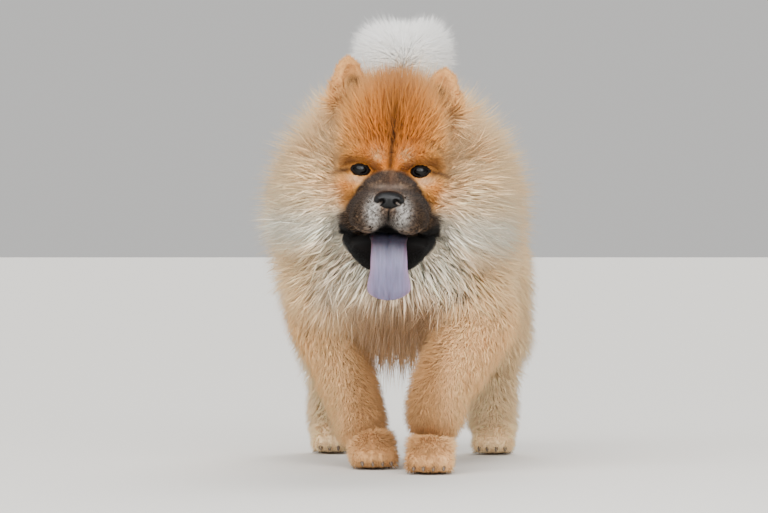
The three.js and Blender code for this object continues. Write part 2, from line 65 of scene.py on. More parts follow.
BODY = {
    "mane": [([1, -306, 345], [60, 62, 66], [56, 46, 54]), ([3, -262, 335], [74, 76, 78], [97, 90, 90]),
             ([4, -205, 330], [78, 84, 84], [97, 90, 94]), ([5, -140, 326], [84, 88, 84], [84, 76, 80])],
    "torso": [([4, -228, 290], [62, 62, 66], [62, 60, 92]), ([5, -165, 306], [88, 110, 101], [70, 52, 92]),
              ([9, -80, 314], [98, 108, 109], [66, 54, 66]), ([14, 10, 320], [93, 97, 86], [64, 54, 62]),
              ([19, 90, 322], [92, 96, 78], [64, 56, 60]), ([24, 160, 322], [90, 92, 78], [66, 54, 62]),
              ([24, 218, 312], [66, 66, 66], [58, 50, 62])],
    "tail": [([24, 178, 418], [22, 22, 22], [26, 30, 20]), ([22, 206, 478], [16, 16, 16], [58, 52, 30]),
             ([18, 176, 524], [13, 13, 13], [64, 58, 34]), ([15, 118, 522], [11, 11, 11], [64, 58, 34]),
             ([14, 66, 500], [8, 8, 8], [46, 36, 26])],
    "foreleg_right": [
        ([-82, -172, 268], [42, 52, 48], [24, 26, 24]), ([-84, -160, 200], [34, 44, 34], [24, 30, 18]),
        ([-64, -168, 132], [26, 30, 27], [18, 30, 14]), ([-44, -178, 72], [24, 26, 25], [14, 20, 10]),
        ([-34, -188, 34], [24, 25, 25], [12, 16, 8])],
    "foreleg_left": [
        ([86, -184, 268], [42, 50, 46], [24, 24, 22]), ([104, -190, 200], [38, 42, 36], [26, 28, 18]),
        ([86, -240, 148], [30, 32, 30], [20, 28, 16]), ([58, -286, 98], [27, 27, 26], [16, 20, 12]),
        ([49, -300, 42], [26, 25, 25], [13, 15, 9])],
    "thigh_right": [([-42, 150, 330], [42, 70, 62], [26, 44, 24]), ([-66, 138, 246], [42, 68, 58], [32, 50, 24]),
                    ([-74, 150, 168], [34, 46, 40], [30, 50, 22]), ([-78, 172, 120], [26, 30, 28], [24, 40, 18])],
    "thigh_left": [([90, 150, 330], [42, 70, 62], [26, 44, 24]), ([118, 128, 246], [42, 68, 58], [32, 50, 24]),
                   ([128, 132, 168], [34, 46, 40], [30, 50, 22]), ([131, 150, 120], [26, 30, 28], [26, 40, 18])],
    "hock_right": [([-78, 172, 132], [22, 26, 24], [20, 32, 16]), ([-79, 182, 84], [20, 24, 21], [20, 26, 12]),
                   ([-79, 180, 30], [23, 25, 22], [14, 16, 8])],
    "hock_left": [([131, 150, 132], [22, 26, 24], [20, 32, 16]), ([132, 158, 84], [20, 24, 21], [22, 26, 12]),
                  ([133, 154, 30], [23, 25, 22], [14, 16, 8])],
}
HEAD = {
    "cranium": [([0, -352, 372], [50, 40, 36], [10, 18, 6]), ([0, -318, 375], [62, 56, 48], [22, 42, 10]),
                ([0, -262, 376], [66, 62, 56], [30, 54, 12]), ([0, -200, 366], [54, 52, 52], [30, 50, 12])],
    "muzzle": [([0, -300, 322], [50, 36, 26], [6, 4, 2]), ([-1, -345, 320], [46, 29, 27], [4, 3, 2]),
               ([-1, -376, 318], [41, 24, 25], [3, 2, 2]), ([-1, -400, 319], [33, 19, 20], [2, 2, 2])],
    "jaw": [([0, -268, 292], [50, 22, 18], [6, 4, 0]), ([0, -318, 282], [56, 28, 12], [6, 4, 0]),
            ([0, -356, 273], [45, 30, 9], [5, 4, 0]), ([0, -386, 264], [27, 17, 7], [3, 3, 0])],
}
# how soon each limb swells from its first point, and shrinks to its last, as shares of its length
ROUNDING = {"mane": (.22, .35), "torso": (.2, .2), "tail": (.12, .3), "cranium": (.3, .3), "muzzle": (.2, .24),
            "jaw": (.25, .22)}
# each paw's place on the floor, its turn and its size
PAWS = {"forepaw_right": ([-24, -208], .18, 1), "forepaw_left": ([46, -316], -.08, 1),
        "hindpaw_right": ([-79, 164], .1, .94), "hindpaw_left": ([134, 138], -.1, .94)}
TOES = 4
print("limbs:", len(BODY) + len(HEAD))

# %% [markdown]
# A limb is a soft tube round a curve. This class gives any point of its surface, and, the other way round, tells
# where a point of the skin lies on it: how far along, at what angle, and how far out. The coat asks that question
# of every tuft, to know how long to grow and which way to lie.

# %% The limb
X_AXIS = np.array([1.0, 0, 0])


def unit(v):
    return v / np.maximum(np.linalg.norm(v, axis=-1, keepdims=True), 1e-9)


class Limb:
    def __init__(self, name, stations):
        self.at, self.skin, self.coat = (np.array([s[k] for s in stations], float) for k in range(3))
        self.rounding = ROUNDING.get(name, (.2, .14))

    def path(self, t):
        """A centripetal spline through the stations."""
        pts = np.vstack([2 * self.at[0] - self.at[1], self.at, 2 * self.at[-1] - self.at[-2]])
        n = len(self.at) - 1
        u = np.clip(t, 0, 1) * n
        i = np.minimum(u.astype(int), n - 1)
        w = (u - i)[:, None]
        a, b, c, d = (pts[i + k] for k in range(4))
        da, db, dc = (np.sqrt(np.linalg.norm(q - p, axis=1, keepdims=True)) for p, q in ((a, b), (b, c), (c, d)))
        m1 = ((b - a) / da - (c - a) / (da + db) + (c - b) / db) * db
        m2 = ((c - b) / db - (d - b) / (db + dc) + (d - c) / dc) * db
        return b + w * (m1 + w * (3 * (c - b) - 2 * m1 - m2 + w * (2 * (b - c) + m1 + m2)))

    def frame(self, t):
        """Three directions at t: along the limb, across it, and to its second side."""
        along = unit(self.path(np.minimum(t + .005, 1)) - self.path(np.maximum(t - .005, 0)))
        across = unit(X_AXIS - along * along[:, :1])
        return along, across, np.cross(across, along)

    def read(self, table, t):
        """A table's numbers at t, eased from one station to the next."""
        n = len(table) - 1
        u = np.clip(t, 0, 1) * n
        i = np.minimum(u.astype(int), n - 1)
        f = (u - i)[:, None]
        return table[i] + (table[i + 1] - table[i]) * f * f * (3 - 2 * f)

    def roundness(self, t):
        start, end = self.rounding
        fall = lambda x: np.sqrt(np.clip(1 - (1 - np.minimum(x, 1)) ** 2, 0, 1))
        return np.maximum(np.minimum(fall(t / start), fall((1 - t) / end)), .02)

    def point(self, t, angle, share=0.0):
        """A point of the flesh, or of a surface further out by a share of the coat."""
        along, across, upper = self.frame(t)
        half = (self.read(self.skin, t) + self.read(self.coat, t) * share) * self.roundness(t)[:, None]
        rise = np.sin(angle)
        return (self.path(t) + across * (half[:, 0] * np.cos(angle))[:, None]
                + upper * (rise * np.where(rise > 0, half[:, 1], half[:, 2]))[:, None])

    def locate(self, p):
        """Where each point lies: t along the limb, the angle round it, and the radius as a share of the flesh."""
        best = np.full(len(p), 1e9)
        t_best, a_best = np.zeros(len(p)), np.zeros(len(p))
        ts = np.linspace(.01, .99, 41)
        centres, halves, (along, across, upper) = self.path(ts), self.read(self.skin, ts), self.frame(ts)
        for k, t in enumerate(ts):
            d = p - centres[k]
            x, y, z = d @ across[k], d @ upper[k], d @ along[k]
            hy = np.where(y > 0, halves[k, 1], halves[k, 2])
            size = halves[k].mean()
            r = (x / halves[k, 0]) ** 2 + (y / hy) ** 2 + (z / size) ** 2 * 1.5
            near = r < best
            best[near], t_best[near] = r[near], t
            a_best[near] = np.arctan2((y / hy)[near], (x / halves[k, 0])[near])
        return t_best, a_best, np.sqrt(best)


limbs = {name: Limb(name, s) for name, s in (BODY | HEAD).items()}


def turn(axis, angle):
    """The matrix of a turn about one axis."""
    c, s = np.cos(angle), np.sin(angle)
    return {"x": np.array([[1, 0, 0], [0, c, -s], [0, s, c]]), "y": np.array([[c, 0, s], [0, 1, 0], [-s, 0, c]]),
            "z": np.array([[c, -s, 0], [s, c, 0], [0, 0, 1]])}[axis]


HEAD_TURN = turn("z", HEAD_YAW) @ turn("y", HEAD_ROLL)


def on_head(p):
    """From the head's own frame to the dog's."""
    return (p - HEAD_CENTRE) @ HEAD_TURN.T + HEAD_CENTRE


def off_head(p):
    """From the dog's frame to the head's own."""
    return (p - HEAD_CENTRE) @ HEAD_TURN + HEAD_CENTRE


low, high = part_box("eye_left")
SHIFT = np.array((low + high) / 2) * 1000 - on_head(EYE_AT[1])
print("shift to the packed frame, mm:", SHIFT.round(2))


def to_scene(p):
    return (p + SHIFT) / 1000


# %% [markdown]
# Blender builds meshes fastest from whole arrays. This helper takes points and triangles, and can add a colour for
# each point (the coat's markings) and a place on the bake map for each corner.

# %% Making a mesh
def make_object(name, points, triangles, colours=None, bake=None):
    """A mesh object from points in the dog's frame, smooth shaded."""
    mesh = bpy.data.meshes.new(name)
    triangles = np.asarray(triangles, np.int32)
    mesh.vertices.add(len(points))
    mesh.vertices.foreach_set("co", to_scene(np.asarray(points)).astype(np.float32).ravel())
    mesh.loops.add(triangles.size)
    mesh.loops.foreach_set("vertex_index", triangles.ravel())
    mesh.polygons.add(len(triangles))
    mesh.polygons.foreach_set("loop_start", np.arange(0, triangles.size, 3, dtype=np.int32))
    mesh.polygons.foreach_set("use_smooth", np.ones(len(triangles), bool))
    if colours is not None:
        add_colours(mesh, colours)
    if bake is not None:
        layer = mesh.uv_layers.new(name="OFBake")
        layer.data.foreach_set("uv", np.asarray(bake)[triangles.ravel()].astype(np.float32).ravel())
    mesh.update()
    mesh.validate()
    obj = bpy.data.objects.new(name, mesh)
    bpy.context.scene.collection.objects.link(obj)
    return obj


def add_colours(mesh, colours):
    """Stores the markings, one linear colour for each point."""
    layer = mesh.color_attributes.new("Markings", "FLOAT_COLOR", "POINT")
    layer.data.foreach_set("color", np.hstack([colours, np.ones((len(colours), 1))]).astype(np.float32).ravel())


def tube(rows, sides, poles):
    """Triangles of a closed tube of rows of points, with a pole before and after them."""
    tris = []
    for r in range(rows - 1):
        for s in range(sides):
            a, b = r * sides + s, r * sides + (s + 1) % sides
            tris += [(a, b, a + sides), (b, b + sides, a + sides)]
    for s in range(sides):
        last = (rows - 1) * sides
        tris += [(s, poles[0], (s + 1) % sides), (last + s, last + (s + 1) % sides, poles[1])]
    return tris


def limb_mesh(limb, rows=28, sides=28, share=0.0):
    """A limb's flesh as a closed tube, with its rows closer together at the two ends."""
    t = (1 - np.cos(np.pi * np.arange(1, rows + 1) / (rows + 1))) / 2
    angle = 2 * np.pi * np.arange(sides) / sides
    tt, aa = np.meshgrid(t, angle, indexing="ij")
    points = limb.point(tt.ravel(), aa.ravel(), share)
    poles = limb.path(np.array([0.0, 1.0]))
    return np.vstack([points, poles]), tube(rows, sides, (rows * sides, rows * sides + 1))


def lump_mesh(at, halves, turns=(), rows=12, sides=18):
    """An egg with the three half sizes given, turned and put in its place."""
    phi = np.pi * np.arange(1, rows + 1) / (rows + 1)
    ff, aa = np.meshgrid(phi, 2 * np.pi * np.arange(sides) / sides, indexing="ij")
    p = np.stack([np.sin(ff) * np.cos(aa), np.sin(ff) * np.sin(aa), np.cos(ff)], -1).reshape(-1, 3)
    p = np.vstack([p, [[0, 0, 1], [0, 0, -1]]]) * halves
    for axis, angle in turns:
        p = p @ turn(axis, angle).T
    return p + at, tube(rows, sides, (rows * sides, rows * sides + 1))


# %% [markdown]
# The skin. A taxidermist's form is one shape from nose to tail, so all the limbs and lumps are thrown together
# and remeshed into one closed surface, then smoothed where they meet. Voxel remeshing does this without any seam.
# Ears are cupped and eye sockets are opened afterwards, by moving the points of the finished surface.

# %% Forms under the skin
EARS = {1: ([56, -262, 452], (-.14, .12, -.35)), -1: ([-55, -258, 462], (-.02, -.1, .5))}
EAR_FLAP = [([0, 4, -24], [27, 12, 12], [0, 0, 0]), ([0, 2, 8], [25, 10, 10], [0, 0, 0]),
            ([0, 0, 30], [17, 8, 8], [0, 0, 0]), ([0, -2, 44], [9, 6, 6], [0, 0, 0])]
ROUNDING["ear"] = (.1, .34)
ear_flap = Limb("ear", EAR_FLAP)


def ear_turn(side):
    x, y, z = EARS[side][1]
    return turn("x", x) @ turn("y", y) @ turn("z", z)


def on_ear(p, side):
    return on_head(p @ ear_turn(side).T + EARS[side][0])


def off_ear(p, side):
    return (off_head(p) - EARS[side][0]) @ ear_turn(side)


forms = [limb_mesh(limbs[n]) for n in BODY]
head_forms = [limb_mesh(limbs[n], 36, 32) for n in HEAD]
for side in (-1, 1):
    head_forms += [
        lump_mesh([side * 54, -292, 332], [32, 42, 42]),
        lump_mesh([side * 43, -334, 309], [18, 29, 18]),
        lump_mesh([side * 23, -378, 309], [24, 24, 20]),
        lump_mesh([side * 34, -332, 384], [26, 18, 12], [("y", side * .25)]),
        lump_mesh([side * 46, -328, 348], [22, 16, 14]),
        lump_mesh([side * 16, -348, 352], [14, 18, 16]),
    ]
head_forms = [(on_head(p), t) for p, t in head_forms]
for side in (-1, 1):
    p, t = limb_mesh(ear_flap, 20, 24)
    forms.append((on_ear(p, side), t))
for name, (at, angle, size) in PAWS.items():
    place = lambda p, at=at, angle=angle: p @ turn("z", angle).T + [*at, 0]
    p, t = lump_mesh([0, 8, 21], np.array([26 * size, 31 * size, 25]))
    forms.append((place(p), t))
    for i in range(TOES):
        spread = (i - (TOES - 1) / 2) / TOES
        p, t = lump_mesh([spread * 48 * size, (-24 + abs(spread) * 22) * size, 14], [8.5 * size, 15 * size, 12],
                         [("z", -spread * .5)])
        forms.append((place(p), t))
forms += head_forms
print("forms under the skin:", len(forms))

# %% One skin
SKIN_VOXEL = 2.6
points = np.vstack([p for p, _ in forms])
starts = np.cumsum([0] + [len(p) for p, _ in forms[:-1]])
rough = make_object("rough_form", points, np.vstack([np.array(t) + s for (_, t), s in zip(forms, starts)]))
remesh = rough.modifiers.new("one surface", "REMESH")
remesh.mode, remesh.voxel_size = "VOXEL", SKIN_VOXEL / 1000
relax = rough.modifiers.new("relax", "SMOOTH")
relax.factor, relax.iterations = .5, 8
done = bpy.data.meshes.new_from_object(rough.evaluated_get(bpy.context.evaluated_depsgraph_get()))
bpy.data.objects.remove(rough)
done.calc_loop_triangles()
skin_points = np.empty(len(done.vertices) * 3, np.float32)
done.vertices.foreach_get("co", skin_points)
skin_points = skin_points.reshape(-1, 3).astype(float) * 1000 - SHIFT
skin_tris = np.empty(len(done.loop_triangles) * 3, np.int32)
done.loop_triangles.foreach_get("vertices", skin_tris)
skin_tris = skin_tris.reshape(-1, 3)
print("skin:", len(skin_points), "points,", len(skin_tris), "triangles")


# %% Sockets, ear cups and soles
def smoothstep(x, lo, hi):
    """0 at lo, 1 at hi and beyond, with a soft start and end; lo may be the larger of the two."""
    f = np.clip((x - lo) / (hi - lo), 0, 1)
    return f * f * (3 - 2 * f)


ALMOND = (8.0, 5.1)            # half width and half height of the open eye
EYE_TILT = .12                 # the outer corner is a little higher


def eye_frame(p, side):
    """Place in the almond of one eye: across, up, and how deep."""
    q = off_head(p) - EYE_AT[side]
    c, s = np.cos(EYE_TILT * side), np.sin(EYE_TILT * side)
    return np.stack([q[:, 0] * c + q[:, 2] * s, q[:, 2] * c - q[:, 0] * s, q[:, 1]], -1)


def lid_depth(u, v, over):
    """How far in front of the eyeball's middle the lids' surface lies."""
    return -(EYE_RADIUS + over) + (u * u + v * v) / (2 * (EYE_RADIUS + over))


head_space = off_head(skin_points)
for side in (-1, 1):
    u, v, w = eye_frame(skin_points, side).T
    ring = np.sqrt((u / 9.4) ** 2 + (v / 5.6) ** 2)
    near = (ring < 3.2) & (w < 6) & (w > -40)
    target = np.where(ring < 1.25, 5.0, lid_depth(u, v, 0.6) + 1.2)
    moved = np.where(w < target, target + (w - target) * smoothstep(ring, 1.5, 3.2), w)
    head_space[near, 1] = (EYE_AT[side][1] + moved)[near]
# the upper lip is parted under the nose
notch = np.exp(-((head_space[:, 0] + 3) / 10) ** 2) * smoothstep(head_space[:, 1], -352, -372)
head_space[:, 2] += 8 * notch * smoothstep(head_space[:, 2], 313, 300) * smoothstep(head_space[:, 2], 280, 288)
skin_points = on_head(head_space)
for side in (-1, 1):
    q = off_ear(skin_points, side)
    d = (q - [0, -13, 12]) / [14.5, 13, 24]
    r2 = d[:, 0] ** 2 + d[:, 2] ** 2
    inside = (np.linalg.norm(d, axis=1) < 1) & (q[:, 1] < 2)
    q[inside, 1] = -13 + 13 * np.sqrt(np.clip(1 - r2[inside], 0, 1))
    skin_points[inside] = on_ear(q[inside], side)
skin_points[:, 2] = np.maximum(skin_points[:, 2], .3)


def point_normals(points, tris):
    """The normal at each point, and the area of each triangle."""
    a, b, c = (points[tris[:, k]] for k in range(3))
    face = np.cross(b - a, c - a)
    total = np.zeros_like(points)
    for k in range(3):
        np.add.at(total, tris[:, k], face)
    return unit(total), np.linalg.norm(face, axis=1) / 2


skin_normals, skin_areas = point_normals(skin_points, skin_tris)
print("skin area, cm2:", round(skin_areas.sum() / 100))

# %% [markdown]
# The markings. A red chow isn't one red: rust on the forehead, gold on the cheeks, a black mask with silver by the
# nose, cream on the bib and the breeches, nearly white on the plume. Colour is a function of where a hair grows,
# written once and used for skin and coat alike, so that nothing shows through in the wrong shade. Some of it is
# painted shade: in the furrow of the forehead, under the brows, at the eyes' outer corners, on the chest under the
# bib and in the open mouth. A hair is painted darker at its root than at its tip, as painted shade deep in the coat
# and painted light on the tips.

# %% Colour of each place
def linear(code):
    """An sRGB hex value as linear light."""
    v = np.array([int(code[i:i + 2], 16) for i in (1, 3, 5)]) / 255
    return np.where(v <= .04045, v / 12.92, ((v + .055) / 1.055) ** 2.4)


RUST, GOLD, TAN, CREAM = linear("#BD6A1F"), linear("#E4A255"), linear("#F6D2A0"), linear("#FFE4BC")
BIB, WHITE, LEG, PALE = linear("#FFF5E2"), linear("#F9F7F3"), linear("#FBC07A"), linear("#FFDDAE")
# the fourth colour below, a dark brown, is painted shade in the forehead's furrow and the creases at the eyes'
# outer corners
MASK, SILVER, BLACK, CREASE_SHADE = linear("#45362D"), linear("#BDB9B3"), linear("#0D0A09"), linear("#4A2A14")
BROWN, SHADED_TAN, BROW_CREAM = linear("#A5662A"), linear("#BE8A56"), linear("#EFC68C")
# the first colour below is painted shade under each brow, above the outer half of the eye
BROW_SHADOW, UNDER_EYE, CHEEK_ORANGE = linear("#6E3C1A"), linear("#F2CFA6"), linear("#DE9048")
MASK_DEEP, MASK_BROWN, BRIDGE, NOSE_RIM = (linear(c) for c in ("#20170F", "#8A6E55", "#8A6850", "#A08C7C"))
EAR, EAR_CUP, PAD = linear("#D8A064"), linear("#4A3220"), linear("#3A302B")
print("colours of the coat, from rust to cream:", *(c.round(2) for c in (RUST, GOLD, TAN, CREAM)))


def mix(colour, other, weight):
    """Moves each colour towards another one by its weight."""
    return colour + (other - colour) * weight[:, None]


def spot(p, centre, sizes):
    """A soft round patch, seen from the front of the head: weight 1 at its centre."""
    d = [(p[:, k] - c) / r for k, c, r in zip((0, 2), centre, sizes)]
    return np.exp(-(d[0] ** 2 + d[1] ** 2))


def stroke(p, start, end, wide):
    """A soft line between two points of the face."""
    a, b = np.array(start, float), np.array(end, float)
    q = p[:, [0, 2]] - a
    f = np.clip(q @ (b - a) / ((b - a) @ (b - a)), 0, 1)
    return np.exp(-(np.linalg.norm(q - f[:, None] * (b - a), axis=1) / wide) ** 2)


def speckle(p):
    """A number from 0 to 1 for each place, with no pattern to it, for hairs of two colours mixed."""
    return np.abs(np.sin(p @ np.array([12.99, 78.23, 37.72])) * 4375.85) % 1


# %% The short fur of the muzzle
# heights of the black jaw, and its half widths there
JAW_EDGE = ([240, 250, 262, 275, 290, 306], [20, 32, 45, 55, 61, 62])
# the upper lip's edge: distances from the middle, and heights
LIP_LINE = ([0, 7, 16, 28, 40, 60], [301, 298, 291, 287, 291, 303])


def open_face(h, wider=0.0):
    """1 on muzzle, lips and jaw, where the fur is short, seen from the front of the head; 0 away from them."""
    side, up = np.abs(h[:, 0]), h[:, 2]
    disc = np.hypot((h[:, 0] + 1) / (45 + wider + 9 * smoothstep(up, 338, 316)), (up - 322) / (45 + wider))
    jowl = np.hypot((side - 45) / (19 + wider), (up - 307) / (12 + wider)) + .3 * (speckle(h) - .5)
    jaw = side / np.maximum(np.interp(up, *JAW_EDGE) + wider, 1)
    jaw += (up < 240 - wider) * 9 + (up > 306) * 9
    return np.maximum(smoothstep(np.minimum(disc, jaw), 1.05, .95), smoothstep(jowl, 1.25, .75))


# %% Colours of trunk, legs and ruff
def body_colours(p):
    x, y, z = p.T
    c = np.tile(TAN, (len(p), 1))
    c = mix(c, PALE, smoothstep(y, -60, 160) * .8)
    c = mix(c, CREAM, smoothstep(y, 60, 230) * smoothstep(z, 330, 160) * .7)
    c = mix(c, WHITE, smoothstep(z, 430, 480) * smoothstep(y, 0, 80))
    c = mix(c, LEG, smoothstep(z, 235, 150) * smoothstep(y, -60, -120))
    # ruff: gold close to the face, paler further out, a cream bib under the chin
    ring = np.hypot(x - 2, z - 335)
    ruff = smoothstep(y, -130, -190)
    c = mix(c, GOLD, ruff * smoothstep(z, 340, 400) * smoothstep(ring, 150, 90) * .6)
    c = mix(c, PALE, ruff * smoothstep(ring, 90, 125) * .5)
    c = mix(c, BIB, ruff * smoothstep(z, 345, 285) * smoothstep(np.abs(x), 110, 70) * smoothstep(z, 190, 225))
    # painted shade on the chest under the bib's fringe, and a brown crown between the ears
    under = smoothstep(z, 215, 170) * smoothstep(y, -130, -180) * smoothstep(np.abs(x - 5), 75, 40)
    c = mix(c, SHADED_TAN, under * .8)
    top = np.exp(-((x - 2) / 46) ** 2 - ((z - 468) / 38) ** 2)
    return mix(c, BROWN, top * ruff * .9)


# %% Colours of the face
def face_colours(p, h, mixed):
    hx, hy, hz = h.T
    side = np.abs(hx)
    # rust brow, gold crown, tan cheeks that pale towards the ruff, and painted shade in the furrow down the
    # forehead
    face = mix(np.tile(GOLD, (len(p), 1)), RUST, smoothstep(side, 64, 20) * smoothstep(hz, 345, 372) * .9)
    face = mix(face, TAN, smoothstep(side, 56, 84))
    face = mix(face, CREAM, smoothstep(side, 52, 72) * smoothstep(hz, 356, 330) * .9)
    face = mix(face, BIB, smoothstep(side, 36, 52) * smoothstep(hz, 325, 300))
    face = mix(face, GOLD, smoothstep(hz, 424, 452) * .8)
    face = mix(face, BROWN, spot(h, [2, 462], [40, 36]) * .9)
    face = mix(face, RUST, spot(h, [2, 424], [40, 24]) * .7)
    # painted shade in the furrow down the forehead and where it starts between the brows
    face = mix(face, CREASE_SHADE, stroke(h, [1, 424], [-1, 370], 3.6) * .9)
    face = mix(face, CREASE_SHADE, spot(h, [3, 428], [9, 16]) * .6)
    # round each eye: a pale brow, painted shade under the brow and in the crease at the outer corner, pale below,
    # orange on the cheek, a black rim
    for s in (-1, 1):
        face = mix(face, BROW_CREAM, spot(h, [s * 17, 384], [8.5, 8]) * (mixed > .4) * .8)
        face = mix(face, BROW_SHADOW, spot(h, [s * 52, 378], [13, 8]) * .75)
        face = mix(face, CREASE_SHADE, stroke(h, [s * 46, 367], [s * 70, 361], 3) * .85)
        face = mix(face, UNDER_EYE, spot(h, [s * 42, 354], [10, 4.5]) * .8)
        face = mix(face, CHEEK_ORANGE, spot(h, [s * 55, 344], [12, 9]) * .7)
        u, v, w = eye_frame(p, s).T
        rim = np.sqrt((u / 9.8) ** 2 + (v / 6.2) ** 2)
        face = mix(face, BLACK, smoothstep(rim, 1.25, .95) * (w < 12))
    # mask: a dark muzzle of brown and black hairs that widens to the jowls, silver beside the nose
    mask = open_face(h) * smoothstep(hy, -285, -300)
    dark = mix(np.tile(MASK, (len(p), 1)), MASK_DEEP, smoothstep(side, 22, 42) * .7)
    dark = mix(mix(dark, MASK_BROWN, (mixed > .72) * .55), BLACK, (mixed < .3) * .6)
    face = mix(face, dark, mask)
    face = mix(face, BRIDGE, mask * spot(h, [0, 354], [5, 13]) * .7)
    for s in (-1, 1):
        grey = mask * (1.2 * spot(h, [s * 19 - 1, 318], [8, 14]) + .8 * spot(h, [s * 13 - 2, 303], [10, 8]))
        face = mix(face, SILVER, np.clip(grey, 0, 1) * (mixed > .35) * .9)
    face = mix(face, NOSE_RIM, spot(h, [0, 346], [17, 3.5]) * mask * .7)
    return mix(face, BLACK, stroke(h, [-.5, 318], [-.5, 300], 1.6) * smoothstep(hy, -385, -392))


# %% All markings
def markings(p):
    """The coat's colour where a hair is rooted at p, in the dog's frame."""
    h = off_head(p)
    hx, hy, hz = h.T
    c = body_colours(p)
    head = smoothstep(hy, -215, -250) * smoothstep(hz, 262, 285)
    c = mix(c, face_colours(p, h, speckle(p)), head)
    # below the upper lip, lips and jaw are painted black: the black of a chow's lips, and painted shade of the open
    # mouth under the upper lip
    below_lip = smoothstep(hz - np.interp(np.abs(hx + 3), *LIP_LINE), 1.5, -2)
    c = mix(c, BLACK, open_face(h) * below_lip * smoothstep(hy, -280, -294))
    # ears: gold, and darker brown in the cup
    for s in (-1, 1):
        q = off_ear(p, s)
        ear = smoothstep(q[:, 2], -22, -10) * smoothstep(np.abs(q[:, 0]), 34, 28)
        ear = ear * smoothstep(np.abs(q[:, 1]), 30, 20)
        c = mix(c, EAR, ear)
        cup = smoothstep(np.linalg.norm((q - [-s * 3, -8, 8]) / [9, 10, 15], axis=1), 1.2, .7)
        c = mix(c, EAR_CUP, cup * ear * .9)
    return mix(c, PAD, smoothstep(p[:, 2], 5, 1))


print("colour of the back:", markings(np.array([[15.0, 0, 470]])).round(2))

# %% [markdown]
# The lie of the coat. Fur streams away from the nose, up over the forehead and out over the cheeks; the ruff
# stands out like a wheel round the face; on the body the hair runs back and down, on the legs down, and the tail
# spreads like a fan. Each limb has its own rule, and a hair between two limbs takes its share of both.

# %% The coat of the limbs
DOWN = np.array([0, 0, -1.0])
RULES = {   # how far the lie goes along the limb, away from the middle of its front, and downwards
    "mane": (.3, 1.0, .3), "torso": (.75, 0, .65), "tail": (.7, 0, -.1),
    "foreleg_right": (1, 0, .2), "foreleg_left": (1, 0, .2),
    "thigh_right": (.9, 0, .3), "thigh_left": (.9, 0, .3),
    "hock_right": (1, 0, .2), "hock_left": (1, 0, .2),
}
TAIL_FAN = 1.7              # the plume fans out all round, so it needs more hair than its skin has room for


def coat_of_limbs(p):
    """The coat's depth, its lie, the place on the bake map, and how many more hairs it needs because they fan
    out, from all the limbs near each point."""
    shares, depths, lies, maps, fans = [], [], [], [], []
    for k, name in enumerate(RULES):
        limb = limbs[name]
        t, a, r = limb.locate(p)
        rise = np.sin(a)
        coat = limb.read(limb.coat, t)
        second = np.where(rise > 0, coat[:, 1], coat[:, 2])
        depth = np.sqrt((coat[:, 0] * np.cos(a)) ** 2 + (second * rise) ** 2)
        follow, spread, fall = RULES[name]
        shares.append(r)
        depths.append(depth)
        fans.append((1 + depth / limb.read(limb.skin, t).mean(1)) * (TAIL_FAN if name == "tail" else 1))
        outward = unit((p - limb.at[1]) * [1, 0, 1])
        lies.append(limb.frame(t)[0] * follow + outward * spread + DOWN * fall)
        column, row = k % 4 + .06 + .88 * (a / (2 * np.pi) + .5), k // 4 + .06 + .88 * t
        maps.append(np.stack([column / 4, row / 4], -1))
    shares, depths, lies, maps, fans = map(np.array, (shares, depths, lies, maps, fans))
    weight = np.exp(-10 * (shares - shares.min(0)))
    weight /= weight.sum(0)
    bake = maps[shares.argmin(0), np.arange(len(p))]
    lie = unit((weight[..., None] * lies).sum(0))
    return (weight * depths).sum(0), lie, bake, (weight * fans).sum(0)


# %% The coat of the head
HEAD_NAMES = ("cranium", "muzzle", "jaw")
NOSE_TIP = [0, -412, 336]       # the face's hair streams away from here


def coat_of_face(p, h):
    """The face's share in the coat, its depth and lie there, and its place on the bake map."""
    side = np.abs(h[:, 0])
    near_head = np.min([limbs[m].locate(h)[2] for m in HEAD_NAMES], axis=0)
    on_face = smoothstep(near_head, 1.45, 1.1) * smoothstep(h[:, 1], -236, -286)
    depth = 3.0 + 9 * smoothstep(h[:, 1], -366, -326)
    depth += 56 * smoothstep(h[:, 2], 374, 436) * smoothstep(h[:, 1], -376, -348)
    depth += 56 * smoothstep(side, 46, 80) * smoothstep(h[:, 1], -338, -285)
    bare = open_face(h, 2) * smoothstep(h[:, 1], -284, -296)
    jowls = smoothstep(side, 42, 60) * smoothstep(h[:, 2], 285, 300)
    depth = depth * (1 - bare) + (3.4 + 7 * jowls) * bare
    for s in (-1, 1):
        u, v, w = eye_frame(p, s).T
        rim = np.sqrt((u / 20) ** 2 + (v / 13) ** 2)
        shallow = np.minimum(depth, 3 + 14 * smoothstep(rim, .6, 1.7))
        depth = np.where((w < 20) & (rim < 1.7), shallow, depth)
    lie = unit(h - NOSE_TIP)
    lie = lie + np.stack([h[:, 0] * .008, 0 * side, smoothstep(h[:, 2], 368, 400) * .5], -1)
    bake = np.stack([.76 + .22 * (h[:, 0] / 200 + .5), .76 + .22 * np.clip((h[:, 2] - 240) / 250, 0, 1)], -1)
    bake[h[:, 1] > -300, 0] -= .25
    return np.maximum(on_face, bare), depth, unit(lie @ HEAD_TURN.T), bake


# %% Length and lie of each place
RUFF = (171, 173, 250)     # the ruff's outline from the front: half width, upper and lower half height


